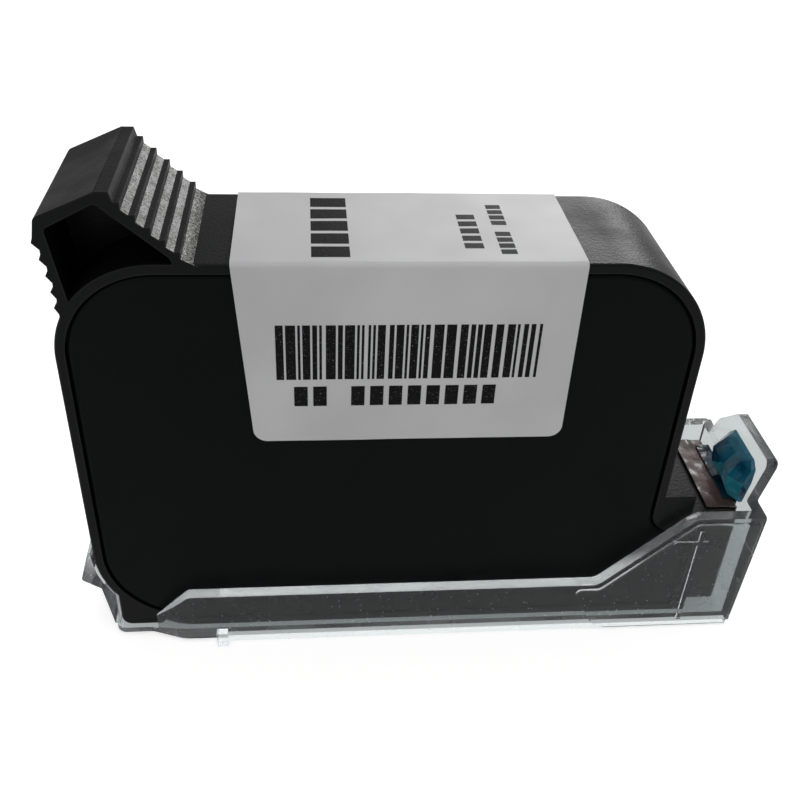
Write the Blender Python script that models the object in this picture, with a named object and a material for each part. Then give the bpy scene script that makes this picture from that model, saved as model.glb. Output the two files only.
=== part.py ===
"""Thermal inkjet print cartridge of a date coder, lying in its clear protective cap.

The body is a flat 19 mm slab: a stiff outer frame, an inner frame with the ink bag
between two spring-loaded plates, and a thin cover on each side. The nozzle end
points to +X, and the two covers face -Y and +Y. All sizes are in millimetres, x from
the body's left edge, y from its middle plane and z from the surface that it lies on;
placed() turns them into metres and moves the origin under the middle of the object.
"""

import math

import bmesh
import bpy
from mathutils import Matrix, Vector

for old in list(bpy.data.objects):
    bpy.data.objects.remove(old)

# Body slab
BODY_LENGTH = 76.0
BODY_HEIGHT = 56.0
BODY_THICK = 19.0
BODY_BOTTOM = 2.0
RADIUS_TOP_LEFT = 12.0
RADIUS_TOP_RIGHT = 12.5
RADIUS_BOTTOM_LEFT = 13.0
FRAME_WALL = 3.0
RIM_WIDTH = 1.2
EDGE_CHAMFER = 0.35

# Snout, which carries the nozzles
SNOUT_REACH = 11.2
SNOUT_HEIGHT = 17.25
SNOUT_THICK = 15.6
SNOUT_ROOT = 6.4
EAR_REACH = 4.2
EAR_RISE = 4.0
EAR_THICK = 1.0
SNOUT_FILLET = 1.0

# Grip on the top left corner
GRIP_RISE = 8.3
GRIP_FLAT = 1.45
GRIP_SHOULDER = 7.0
GRIP_SHOULDER_DROP = 2.9
GRIP_STEPS = 5
GRIP_STEP = 1.42
GRIP_TREAD = 0.67
GRIP_RISER = 0.85
GRIP_LIP_RUN = 0.3
GRIP_LIP_DROP = 1.13
GRIP_ROOT = 0.4
GRIP_TOE = 0.55
THUMB_RIBS = 5
THUMB_RIB_PITCH = 1.95
THUMB_RIB_DEPTH = 0.75
THUMB_RIB_EASE = 0.08  # how much shallower each rib is than the one above
THUMB_START_DROP = 2.85
THUMB_START_X = -0.16
THUMB_LEAN = 1.12
POCKET_WALL = 1.3
POCKET_WEB = 2.4
POCKET_SLOPE_WALL = 1.75

# Foot under the bottom left corner
LUG_START = 2.3
LUG_LENGTH = 5.6

# Side covers, inner frame and ink bag
COVER_THICK = 1.0
COVER_SETBACK = 0.1
INNER_WALL = 2.2
FILM_THICK = 0.15
PLATE_MARGIN = 3.8
PLATE_END_GAP = 1.0
PLATE_THICK = 0.5
PLATE_RADIUS = 4.0
PLATE_LIFT = 2.0
SPRING_WIDTH = 12.0
SPRING_THICK = 0.5
SPRING_MARGIN = 4.0
CHANNEL_BLOCK = 17.0
CHANNEL_ROOF = 2.35
CHANNEL_THICK = 7.0
CHANNEL_SLOT = 3.4
INK_SLOT = 9.0
NOSE_WALL = 3.0
SCREEN_LAP = 1.0
SCREEN_EDGE = 0.75
SCREEN_THICK = 0.25
SCREEN_CORNER = 0.8

# Printhead
DIE_MARGIN = 1.525
DIE_WIDTH = 8.0
DIE_THICK = 0.75
FLEX_THICK = 0.2
FLEX_WIDTH = 15.0
FLEX_UNDER = 26.0
FLEX_TAIL = 4.4
FLEX_BEND = 0.3
FLEX_WINDOW_MARGIN = 0.2
CONTACT_RECESS = 0.7
RECESS_MARGIN = 0.4
PAD_ROWS = 4
PADS_PER_ROW = 7
PAD_SIZE = 1.7
PAD_PITCH_X = 4.4
PAD_PITCH_Y = 2.05
PAD_THICK = 0.2
PAD_SHIFT = 2.0
PAD_WEB = 0.3
PAD_CORNER = 0.4
BEAD_WIDTH = 1.2
BEAD_PROUD = 0.25
BEAD_OVERLAP = 0.2
BALL_RADIUS = 1.45
BALL_GAP = 0.06
BALL_HEIGHT = 37.0

# Nozzle tape with its pull tab
TAPE_THICK = 0.15
TAPE_WIDTH = 12.0
TAPE_OVERLAP = 2.1
TAB_HEIGHT = 6.2
TAB_WIDTH = 10.6
TAB_SHIFT = -1.8

# Label over the top edge
LABEL_START = 20.2
LABEL_LENGTH = 39.7
LABEL_DROP = 24.0
LABEL_THICK = 0.15
LABEL_SKEW = 1.7
LABEL_CORNER = 1.6

# Protective cap
CAP_GAP = 0.3
CAP_WALL = 1.6
CAP_FLOOR = 0.9
CAP_RAIL = 0.8
CAP_LOW_WALL = 8.85
CAP_HIGH_WALL = 20.7
CAP_END_GAP = 0.3
CAP_LOW_START = 11.8
CAP_SLOPE_LEAD = 7.6
CAP_TONGUE_START = 1.3
CAP_WALL_START = 6.4
CAP_RAIL_START = 15.4
CAP_NUB = 1.0
CAP_NUB_TOP = 2.6
CAP_NUB_LENGTH = 1.5
CAP_CHEEK = 4.5
CAP_PAD = 0.4
CAP_PAD_LEAD = 3.4
CAP_RIB = 0.3
CAP_RIB_WIDTH = 0.6
CAP_RIB_SHIFT = 1.2
CAP_RIB_DROP = 2.3
CAP_TAB_RISE = 6.7
CAP_TAB_FLARE = 1.4
CAP_TAB_FRONT = 7.8
CAP_TAB_BACK = 3.4
CAP_TAB_CORNER = 7.0
CAP_TAB_SHOULDER = 3.2
CAP_END_DRAFT = 0.7

# Latch arm of the cap
ARM_GAP = 0.35
ARM_ROOT_THICK = 0.75
ARM_WIDTH = 18.4
ARM_TOP = 15.6
ARM_TIP_REACH = 2.2
ARM_TIP_HEIGHT = 10.6

SEAT = 0.1      # between pieces that lie on each other
JOINT_GAP = 0.3  # between the arm and the cap

# Places that follow from the sizes above
BODY_TOP = BODY_BOTTOM + BODY_HEIGHT
HALF = BODY_THICK / 2
SNOUT_TOP = BODY_BOTTOM + SNOUT_HEIGHT
SNOUT_END = BODY_LENGTH + SNOUT_REACH
SNOUT_HALF = SNOUT_THICK / 2
ROOT_END = BODY_LENGTH + SNOUT_ROOT
COVER_FLOOR = HALF - COVER_SETBACK - COVER_THICK - SEAT
INNER_HALF = COVER_FLOOR - FILM_THICK - 2 * SEAT
FACE_MIDDLE = BODY_BOTTOM + CONTACT_RECESS + (SNOUT_HEIGHT - CONTACT_RECESS) / 2
PLATE_START = FRAME_WALL + INNER_WALL + PLATE_MARGIN
PLATE_LENGTH = BODY_LENGTH - PLATE_START - CHANNEL_BLOCK - FRAME_WALL - PLATE_END_GAP
PLATE_HEIGHT = BODY_HEIGHT - 2 * PLATE_START
SPRING_LENGTH = PLATE_LENGTH - 2 * SPRING_MARGIN
DIE_HEIGHT = SNOUT_HEIGHT - 2 * DIE_MARGIN
CHANNEL_LOW = BODY_BOTTOM + FRAME_WALL + 2 * SEAT + INNER_WALL
CHANNEL_HEIGHT = SNOUT_TOP - CHANNEL_ROOF - CHANNEL_LOW
SCREEN_SIZE = CHANNEL_HEIGHT - 2 * SCREEN_EDGE
SCREEN_WINDOW = SCREEN_SIZE - 2 * SCREEN_LAP
FLEX_FACE = SNOUT_END + SEAT + FLEX_THICK
BEAD_FACE = FLEX_FACE + SEAT + BEAD_PROUD
TAPE_FACE = BEAD_FACE + SEAT + TAPE_THICK
CAP_HALF = HALF + CAP_GAP + CAP_WALL
CAP_INSIDE = TAPE_FACE + CAP_END_GAP
CAP_END = CAP_INSIDE + CAP_WALL
CAP_TOP = CAP_RAIL + CAP_FLOOR
CAP_SLOPE_START = BODY_LENGTH - CAP_SLOPE_LEAD
CAP_PAD_START = CAP_SLOPE_START - CAP_PAD_LEAD
OBJECT_MIDDLE = (CAP_END + CAP_TAB_FLARE - ARM_TIP_REACH) / 2


def placed(x, y, z):
    return Vector((x - OBJECT_MIDDLE, y, z)) * 0.001


def material(name, color, roughness, metallic=0.0, alpha=1.0):
    made = bpy.data.materials.new(name)
    made.use_nodes = True
    shader = made.node_tree.nodes["Principled BSDF"]
    shader.inputs["Base Color"].default_value = (*color, 1.0)
    shader.inputs["Roughness"].default_value = roughness
    shader.inputs["Metallic"].default_value = metallic
    shader.inputs["Alpha"].default_value = alpha
    return made


BLACK_GRAINED = material("black_grained_plastic", (0.02, 0.021, 0.021), 0.55)
BLACK_SATIN = material("black_satin_plastic", (0.014, 0.016, 0.016), 0.42)
GREY_RUBBERY = material("grey_inner_plastic", (0.12, 0.12, 0.13), 0.6)
FILM = material("bag_film", (0.75, 0.75, 0.72), 0.3, alpha=0.6)
STEEL = material("spring_steel", (0.62, 0.62, 0.64), 0.3, 1.0)
MESH_STEEL = material("filter_steel", (0.5, 0.5, 0.52), 0.45, 1.0)
SILICON = material("silicon", (0.35, 0.3, 0.22), 0.25, 0.6)
RESIN = material("bead_resin", (0.03, 0.03, 0.03), 0.35)
POLYIMIDE = material("copper_flex", (0.13, 0.075, 0.06), 0.35)
GOLD = material("gold_pads", (0.8, 0.6, 0.25), 0.3, 1.0)
PAPER = material("label_paper", (0.72, 0.73, 0.74), 0.6)
TEAL = material("teal_tape", (0.02, 0.3, 0.36), 0.2)
CLEAR = material("clear_plastic", (0.85, 0.88, 0.88), 0.1, alpha=0.35)


def turn(before, corner, after):
    """Cross product of the two edges at a corner: positive where it turns left."""
    u0, v0 = corner[0] - before[0], corner[1] - before[1]
    u1, v1 = after[0] - corner[0], after[1] - corner[1]
    return u0 * v1 - v0 * u1


def inset(corners, distance):
    """The corners of an anticlockwise outline moved inwards, with its fillets to match."""
    moved = []
    for i, (u, v, radius) in enumerate(corners):
        before, after = corners[i - 1], corners[(i + 1) % len(corners)]
        first = Vector((u - before[0], v - before[1])).normalized()
        second = Vector((after[0] - u, after[1] - v)).normalized()
        bisector = (Vector((-first.y, first.x)) + Vector((-second.y, second.x))).normalized()
        reach = distance / bisector.dot(Vector((-first.y, first.x)))
        convex = turn(before, (u, v), after) > 0
        grown = radius - distance if convex else radius + distance
        moved.append((u + bisector.x * reach, v + bisector.y * reach, max(grown, 0.05) if radius else 0.0))
    return moved


def rounded(corners, segments=8):
    """The points of an outline whose corners (u, v, radius) are rounded by arcs."""
    points = []
    for i, (u, v, radius) in enumerate(corners):
        corner = Vector((u, v))
        if not radius:
            points.append(corner)
            continue
        before = (Vector(corners[i - 1][:2]) - corner).normalized()
        after = (Vector(corners[(i + 1) % len(corners)][:2]) - corner).normalized()
        half = before.angle(after) / 2
        start = corner + before * radius / math.tan(half)
        middle = corner + (before + after).normalized() * radius / math.sin(half)
        sweep = math.pi - 2 * half
        if turn(corner + before, corner, corner + after) < 0:
            sweep = -sweep
        arm = start - middle
        for step in range(segments + 1):
            angle = sweep * step / segments
            cos, sin = math.cos(angle), math.sin(angle)
            points.append(middle + Vector((arm.x * cos - arm.y * sin, arm.x * sin + arm.y * cos)))
    return points


def solid(name, rings, look):
    """A closed skin through rings of equally many (x, y, z) points, capped at both ends."""
    mesh = bmesh.new()
    loops = [[mesh.verts.new(placed(*point)) for point in ring] for ring in rings]
    for low, high in zip(loops, loops[1:]):
        for i in range(len(low)):
            j = (i + 1) % len(low)
            mesh.faces.new((low[i], low[j], high[j], high[i]))
    mesh.faces.new(loops[0][::-1])
    mesh.faces.new(loops[-1])
    bmesh.ops.recalc_face_normals(mesh, faces=mesh.faces)
    data = bpy.data.meshes.new(name)
    mesh.to_mesh(data)
    mesh.free()
    data.materials.append(look)
    made = bpy.data.objects.new(name, data)
    bpy.context.scene.collection.objects.link(made)
    return made


def slab(name, corners, y0, y1, look=BLACK_GRAINED, chamfer=0.0, segments=8):
    """An outline in x and z, given anticlockwise, pulled along y, with chamfered rims if asked."""
    layers = [(y0, 0.0), (y1, 0.0)]
    if chamfer:
        layers = [(y0, chamfer), (y0 + chamfer, 0.0), (y1 - chamfer, 0.0), (y1, chamfer)]
    rings = []
    for y, step in layers:
        edge = rounded(inset(corners, step) if step else corners, segments)
        rings.append([(point.x, y, point.y) for point in edge])
    return solid(name, rings, look)


def sheet(name, corners, z0, z1, look, segments=8):
    """An outline in x and y pulled along z."""
    edge = rounded(corners, segments)
    return solid(name, [[(p.x, p.y, z) for p in edge] for z in (z0, z1)], look)


def strip(name, corners, x0, x1, look, segments=8):
    """An outline in y and z pulled along x."""
    edge = rounded(corners, segments)
    return solid(name, [[(x, p.x, p.y) for p in edge] for x in (x0, x1)], look)


def box(name, low, high, look=BLACK_GRAINED):
    (x0, y0, z0), (x1, y1, z1) = low, high
    return slab(name, [(x0, z0, 0), (x1, z0, 0), (x1, z1, 0), (x0, z1, 0)], y0, y1, look)


def combine(target, operation, *tools):
    """Joins, cuts or crosses the target with other solids, which are used up."""
    for tool in tools:
        step = target.modifiers.new(operation.lower(), "BOOLEAN")
        step.operation = operation
        step.object = tool
        graph = bpy.context.evaluated_depsgraph_get()
        result = bpy.data.meshes.new_from_object(target.evaluated_get(graph))
        target.modifiers.clear()
        target.data = result
        bpy.data.objects.remove(tool)
    return target


def cut(target, *tools):
    return combine(target, "DIFFERENCE", *tools)


def join(target, *tools):
    return combine(target, "UNION", *tools)


def cross(target, *tools):
    return combine(target, "INTERSECT", *tools)


def sides(build):
    """One piece for each side of the body: side is -1 at the front and 1 at the back."""
    return [build(side) for side in (-1, 1)]


def between(side, inner, outer):
    """The y span from inner to outer on one side, low value first."""
    return sorted((side * inner, side * outer))


def square(u, v, size, radius):
    """The corners of a rounded square around (u, v)."""
    half = size / 2
    return [
        (u - half, v - half, radius),
        (u + half, v - half, radius),
        (u + half, v + half, radius),
        (u - half, v + half, radius),
    ]


# Outlines that several pieces share -------------------------------------------------


def body_corners(distance=0.0):
    """The slab with its snout, anticlockwise from the bottom left, moved inwards."""
    return inset(
        [
            (0.0, BODY_BOTTOM, RADIUS_BOTTOM_LEFT),
            (SNOUT_END, BODY_BOTTOM, SNOUT_FILLET),
            (SNOUT_END, SNOUT_TOP, SNOUT_FILLET),
            (BODY_LENGTH, SNOUT_TOP, SNOUT_FILLET),
            (BODY_LENGTH, BODY_TOP, RADIUS_TOP_RIGHT),
            (0.0, BODY_TOP, RADIUS_TOP_LEFT),
        ],
        distance,
    )


def cover_corners(distance):
    """The side cover: the slab and the root of the snout."""
    return inset(
        [
            (0.0, BODY_BOTTOM, RADIUS_BOTTOM_LEFT),
            (ROOT_END, BODY_BOTTOM, 2.0),
            (ROOT_END, SNOUT_TOP - EAR_THICK, 2.0),
            (BODY_LENGTH, SNOUT_TOP - EAR_THICK, 2.0),
            (BODY_LENGTH, BODY_TOP, RADIUS_TOP_RIGHT),
            (0.0, BODY_TOP, RADIUS_TOP_LEFT),
        ],
        distance,
    )


def hollow_corners(distance):
    """The slab without its snout, where the ink bag is."""
    return inset(
        [
            (0.0, BODY_BOTTOM, RADIUS_BOTTOM_LEFT),
            (BODY_LENGTH, BODY_BOTTOM, RADIUS_BOTTOM_LEFT),
            (BODY_LENGTH, BODY_TOP, RADIUS_TOP_RIGHT),
            (0.0, BODY_TOP, RADIUS_TOP_LEFT),
        ],
        distance,
    )


# Grip -------------------------------------------------------------------------------


def grip_steps():
    """The stepped slope, from the flat down to the body's top: a lip, then treads with slopes between."""
    x, z = GRIP_SHOULDER + GRIP_FLAT + GRIP_LIP_RUN, BODY_TOP + GRIP_RISE - GRIP_LIP_DROP
    points = []
    for _ in range(GRIP_STEPS):
        points += [(x, z, 0), (x + GRIP_TREAD, z, 0), (x + GRIP_TREAD, z - GRIP_RISER, 0)]
        x, z = x + GRIP_STEP, z - GRIP_STEP
    points.append((x + GRIP_TREAD + GRIP_TOE, BODY_TOP - GRIP_ROOT, 0))
    return points


def thumb_ribs():
    """The scalloped left face, from the shoulder down to the corner's curve: tips and hollows."""
    points = []
    for i in range(THUMB_RIBS):
        share = i / (THUMB_RIBS - 1)
        x = THUMB_START_X + THUMB_LEAN * (1 - (1 - share) ** 2)
        z = BODY_TOP + GRIP_RISE - GRIP_SHOULDER_DROP - THUMB_START_DROP - i * THUMB_RIB_PITCH
        deep = x + THUMB_RIB_DEPTH - i * THUMB_RIB_EASE
        if not i:
            points.append((x + 0.2, z + 0.3 * THUMB_RIB_PITCH, 0))
        points.append((x, z, 0))
        points.append((deep, z - 0.42 * THUMB_RIB_PITCH, 0))
        points.append((deep, z - 0.67 * THUMB_RIB_PITCH, 0))
    return points


def grip():
    under = BODY_TOP - RADIUS_TOP_LEFT + 3.0
    outline = [(RADIUS_TOP_LEFT, under, 0), *grip_steps()[::-1]]
    outline.append((GRIP_SHOULDER + GRIP_FLAT, BODY_TOP + GRIP_RISE, 0))
    outline.append((GRIP_SHOULDER, BODY_TOP + GRIP_RISE, 0.4))
    outline.append((0.45, BODY_TOP + GRIP_RISE - GRIP_SHOULDER_DROP, 0.8))
    outline += thumb_ribs()
    outline.append((2.0, under, 0))
    return slab("grip", outline, -HALF, HALF)


def pocket(side):
    """A blind hollow in the grip, with the body's own curve as its floor."""
    wall = POCKET_WALL
    slope_end = GRIP_SHOULDER + GRIP_FLAT + GRIP_LIP_RUN + GRIP_STEPS * GRIP_STEP
    right = slope_end - POCKET_SLOPE_WALL
    corners = [
        (wall + 1.5, BODY_TOP - RADIUS_TOP_LEFT / 2, 0.6),
        (right, BODY_TOP - RADIUS_TOP_LEFT / 2, 0.6),
        (right, BODY_TOP + 0.6, 1.0),
        (GRIP_SHOULDER - 0.2, BODY_TOP + GRIP_RISE - wall, 0.5),
        (wall, BODY_TOP + GRIP_RISE - GRIP_SHOULDER_DROP - wall, 0.6),
    ]
    hollow = slab("pocket", corners, *between(side, POCKET_WEB / 2, HALF + 1.0))
    return cut(hollow, slab("floor", body_corners(), *between(side, -1.0, HALF + 2.0), segments=16))


# Outer frame ------------------------------------------------------------------------


def ear(side):
    """A thin rim that stands above the snout's top, flush with the side."""
    corners = [
        (BODY_LENGTH - FRAME_WALL, SNOUT_TOP - 2.0, 0),
        (BODY_LENGTH + EAR_REACH, SNOUT_TOP - 2.0, 0),
        (BODY_LENGTH + EAR_REACH, SNOUT_TOP + EAR_RISE, 0.3),
        (BODY_LENGTH - FRAME_WALL, SNOUT_TOP + EAR_RISE, 0),
    ]
    return slab("ear", corners, *between(side, HALF - EAR_THICK, HALF))


def rebate(side):
    corners = cover_corners(RIM_WIDTH)
    return slab("rebate", corners, *between(side, COVER_FLOOR, HALF + 1.0), segments=10)


def tip_side(side):
    """What is cut from the snout's tip, which is thinner than the body."""
    y0, y1 = between(side, SNOUT_HALF, HALF + 1.0)
    return box("tip_side", (ROOT_END, y0, BODY_BOTTOM - 1), (SNOUT_END + 1, y1, SNOUT_TOP + 1))


def outer_frame():
    frame = slab("outer_frame", body_corners(), -HALF, HALF, BLACK_GRAINED, EDGE_CHAMFER, 12)
    foot = [
        (LUG_START, BODY_BOTTOM, 1.4),
        (LUG_START + LUG_LENGTH, BODY_BOTTOM, 1.8),
        (LUG_START + LUG_LENGTH + 3.0, BODY_BOTTOM + 4.0, 0),
        (LUG_START, BODY_BOTTOM + 7.0, 0),
    ]
    join(frame, grip(), slab("foot", foot, -HALF, HALF, chamfer=0.3), *sides(ear))
    hollow = slab("hollow", hollow_corners(FRAME_WALL), -HALF - 1, HALF + 1, segments=12)
    cut(frame, *sides(rebate), hollow, *sides(pocket), *sides(tip_side))
    recess_start = SNOUT_END - FLEX_UNDER - RECESS_MARGIN
    cut(
        frame,
        box(
            "contact_recess",
            (recess_start, -SNOUT_HALF - RECESS_MARGIN, BODY_BOTTOM - 1),
            (SNOUT_END + 1, SNOUT_HALF + RECESS_MARGIN, BODY_BOTTOM + CONTACT_RECESS),
        ),
    )
    gap = 1.5 * SEAT
    cut(
        frame,
        box(
            "ink_channel",
            (BODY_LENGTH - RADIUS_BOTTOM_LEFT, -CHANNEL_THICK / 2 - gap, CHANNEL_LOW - gap),
            (SNOUT_END - NOSE_WALL, CHANNEL_THICK / 2 + gap, CHANNEL_LOW + CHANNEL_HEIGHT + gap),
        ),
        box(
            "ink_slot",
            (SNOUT_END - NOSE_WALL - 1, -CHANNEL_SLOT / 2, FACE_MIDDLE - INK_SLOT / 2),
            (SNOUT_END + 1, CHANNEL_SLOT / 2, FACE_MIDDLE + INK_SLOT / 2),
        ),
        box(
            "die_pocket",
            (SNOUT_END - DIE_THICK + SEAT, -DIE_WIDTH / 2 - SEAT, FACE_MIDDLE - DIE_HEIGHT / 2 - SEAT),
            (SNOUT_END + 1, DIE_WIDTH / 2 + SEAT, FACE_MIDDLE + DIE_HEIGHT / 2 + SEAT),
        ),
    )
    return cut(frame, fill_bore())


def round_bar(name, radius, x0, x1, z, look=BLACK_GRAINED, count=24):
    """A bar along x, on the middle plane."""
    angles = [2 * math.pi * i / count for i in range(count)]
    ring = [(radius * math.cos(a), z + radius * math.sin(a)) for a in angles]
    return solid(name, [[(x, y, h) for y, h in ring] for x in (x0, x1)], look)


def fill_bore():
    x0, x1 = BODY_LENGTH - FRAME_WALL - 1, BODY_LENGTH + 1
    return round_bar("fill_bore", BALL_RADIUS + BALL_GAP, x0, x1, BALL_HEIGHT)


def fill_port_ball():
    mesh = bmesh.new()
    bmesh.ops.create_uvsphere(mesh, u_segments=24, v_segments=12, radius=BALL_RADIUS * 0.001)
    data = bpy.data.meshes.new("fill_port_ball")
    mesh.to_mesh(data)
    mesh.free()
    data.materials.append(STEEL)
    data.shade_smooth()
    ball = bpy.data.objects.new("fill_port_ball", data)
    ball.location = placed(BODY_LENGTH - FRAME_WALL / 2, 0.0, BALL_HEIGHT)
    bpy.context.scene.collection.objects.link(ball)


# Inside: frame, screens, film, plates and spring ------------------------------------


def inner_frame():
    """A ring that the films are welded to, with the ink channel that leads into the snout."""
    clear = FRAME_WALL + 2 * SEAT
    ring = slab("inner_frame", hollow_corners(clear), -INNER_HALF, INNER_HALF, GREY_RUBBERY, segments=10)
    cut(ring, slab("bag_space", hollow_corners(clear + INNER_WALL), -HALF, HALF, segments=10))
    low, high = CHANNEL_LOW, CHANNEL_LOW + CHANNEL_HEIGHT
    half = CHANNEL_THICK / 2
    right = SNOUT_END - NOSE_WALL - 1.5 * SEAT
    block_x = BODY_LENGTH - clear - CHANNEL_BLOCK
    join(ring, box("channel", (block_x, -half, low), (right, half, high), GREY_RUBBERY))
    window_x = block_x + SCREEN_SIZE / 2 + 0.6
    middle = (low + high) / 2
    pane = SCREEN_WINDOW / 2
    cut(
        ring,
        box("window", (window_x - pane, -HALF, middle - pane), (window_x + pane, HALF, middle + pane)),
        box(
            "bore",
            (window_x, -CHANNEL_SLOT / 2, middle - pane),
            (right + 1, CHANNEL_SLOT / 2, middle + pane),
        ),
    )
    for side, name in ((-1, "filter_screen_front"), (1, "filter_screen_back")):
        y0, y1 = between(side, half + SEAT, half + SEAT + SCREEN_THICK)
        slab(name, square(window_x, middle, SCREEN_SIZE, SCREEN_CORNER), y0, y1, MESH_STEEL, segments=4)


def ink_bag():
    corners = hollow_corners(FRAME_WALL + 4 * SEAT)
    y = INNER_HALF + SEAT
    slab("front_film", corners, *between(-1, y, y + FILM_THICK), FILM, segments=10)
    slab("back_film", corners, *between(1, y, y + FILM_THICK), FILM, segments=10)
    middle_z = BODY_BOTTOM + BODY_HEIGHT / 2 + PLATE_LIFT
    low, high = middle_z - PLATE_HEIGHT / 2, middle_z + PLATE_HEIGHT / 2
    plate = [
        (PLATE_START, low, PLATE_RADIUS),
        (PLATE_START + PLATE_LENGTH, low, PLATE_RADIUS),
        (PLATE_START + PLATE_LENGTH, high, PLATE_RADIUS),
        (PLATE_START, high, PLATE_RADIUS),
    ]
    outer = y - JOINT_GAP
    inner = outer - PLATE_THICK
    slab("front_pressure_plate", plate, *between(-1, inner, outer), STEEL)
    slab("back_pressure_plate", plate, *between(1, inner, outer), STEEL)
    bow_spring(PLATE_START + PLATE_LENGTH / 2, middle_z, inner - SEAT)


def bow_spring(middle_x, middle_z, reach):
    """Two bowed leaves that meet at their ends, pressing the plates apart."""
    count = 48
    leaf = SPRING_LENGTH / 2

    def oval(shrink):
        ring = []
        for i in range(count):
            angle = 2 * math.pi * i / count
            x = middle_x + (leaf - shrink) * math.cos(angle)
            ring.append((x, (reach - shrink) * math.sin(angle), 0))
        return ring

    z0, z1 = middle_z - SPRING_WIDTH / 2, middle_z + SPRING_WIDTH / 2
    spring = sheet("bow_spring", oval(0.0), z0, z1, STEEL)
    cut(spring, sheet("inside", oval(SPRING_THICK), z0 - 1, z1 + 1, STEEL))


# Printhead --------------------------------------------------------------------------


def face_box(name, x0, x1, half_width, half_height, look):
    """A box around the middle of the nozzle face."""
    low, high = FACE_MIDDLE - half_height, FACE_MIDDLE + half_height
    return box(name, (x0, -half_width, low), (x1, half_width, high), look)


def printhead():
    back = SNOUT_END - DIE_THICK + 2 * SEAT
    die = (DIE_WIDTH / 2, DIE_HEIGHT / 2)
    face_box("printhead_die", back, back + DIE_THICK, *die, SILICON)
    bead_z = DIE_HEIGHT / 2 - BEAD_OVERLAP
    bead_x = FLEX_FACE + SEAT
    for name, way in (("encapsulant_bead_upper", 1), ("encapsulant_bead_lower", -1)):
        middle = FACE_MIDDLE + way * bead_z
        corners = [
            (bead_x, middle - BEAD_WIDTH / 2, 0),
            (bead_x + BEAD_PROUD, middle - BEAD_WIDTH / 2, 0.2),
            (bead_x + BEAD_PROUD, middle + BEAD_WIDTH / 2, 0.2),
            (bead_x, middle + BEAD_WIDTH / 2, 0),
        ]
        slab(name, corners, -DIE_WIDTH / 2, DIE_WIDTH / 2, RESIN, segments=4)


def flex_circuit():
    """A strip under the snout, up the nozzle face and over its top edge."""
    under = BODY_BOTTOM + CONTACT_RECESS - SEAT
    top = SNOUT_TOP + SEAT
    start = SNOUT_END - FLEX_UNDER
    corners = [
        (start, under - FLEX_THICK, 0),
        (FLEX_FACE, under - FLEX_THICK, FLEX_BEND),
        (FLEX_FACE, top + FLEX_THICK, FLEX_BEND),
        (FLEX_FACE - FLEX_TAIL, top + FLEX_THICK, 0),
        (FLEX_FACE - FLEX_TAIL, top, 0),
        (FLEX_FACE - FLEX_THICK, top, 0),
        (FLEX_FACE - FLEX_THICK, under, 0),
        (start, under, 0),
    ]
    flex = slab("flex_circuit", corners, -FLEX_WIDTH / 2, FLEX_WIDTH / 2, POLYIMIDE, segments=3)
    window = (DIE_WIDTH / 2 + FLEX_WINDOW_MARGIN, DIE_HEIGHT / 2 + FLEX_WINDOW_MARGIN)
    cut(flex, face_box("window", SNOUT_END - 2, FLEX_FACE + 1, *window, POLYIMIDE))
    pad_z = under - FLEX_THICK - SEAT
    contact_pads(SNOUT_END - FLEX_UNDER / 2 - PAD_SHIFT, pad_z - PAD_THICK, pad_z)


def contact_pads(middle_x, z0, z1):
    """Rows of pads on their traces, joined as the copper layer joins them."""
    reach_x = (PAD_ROWS - 1) / 2 * PAD_PITCH_X
    reach_y = (PADS_PER_ROW - 1) / 2 * PAD_PITCH_Y
    pads = []
    for row in range(PAD_ROWS):
        for column in range(PADS_PER_ROW):
            x = middle_x - reach_x + row * PAD_PITCH_X
            y = -reach_y + column * PAD_PITCH_Y
            pads.append(sheet("pad", square(x, y, PAD_SIZE, PAD_CORNER), z0, z1, GOLD, segments=3))
    web = PAD_WEB / 2
    sunk = 0.05
    for column in range(PADS_PER_ROW):
        y = -reach_y + column * PAD_PITCH_Y
        low, high = (middle_x - reach_x, y - web, z0 + sunk), (middle_x + reach_x, y + web, z1 - sunk)
        pads.append(box("trace", low, high, GOLD))
    low, high = (middle_x - web, -reach_y, z0 + sunk), (middle_x + web, reach_y, z1 - sunk)
    pads.append(box("bus", low, high, GOLD))
    pads[0].name = "contact_pads"
    join(*pads)


# Tape and label ---------------------------------------------------------------------


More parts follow.
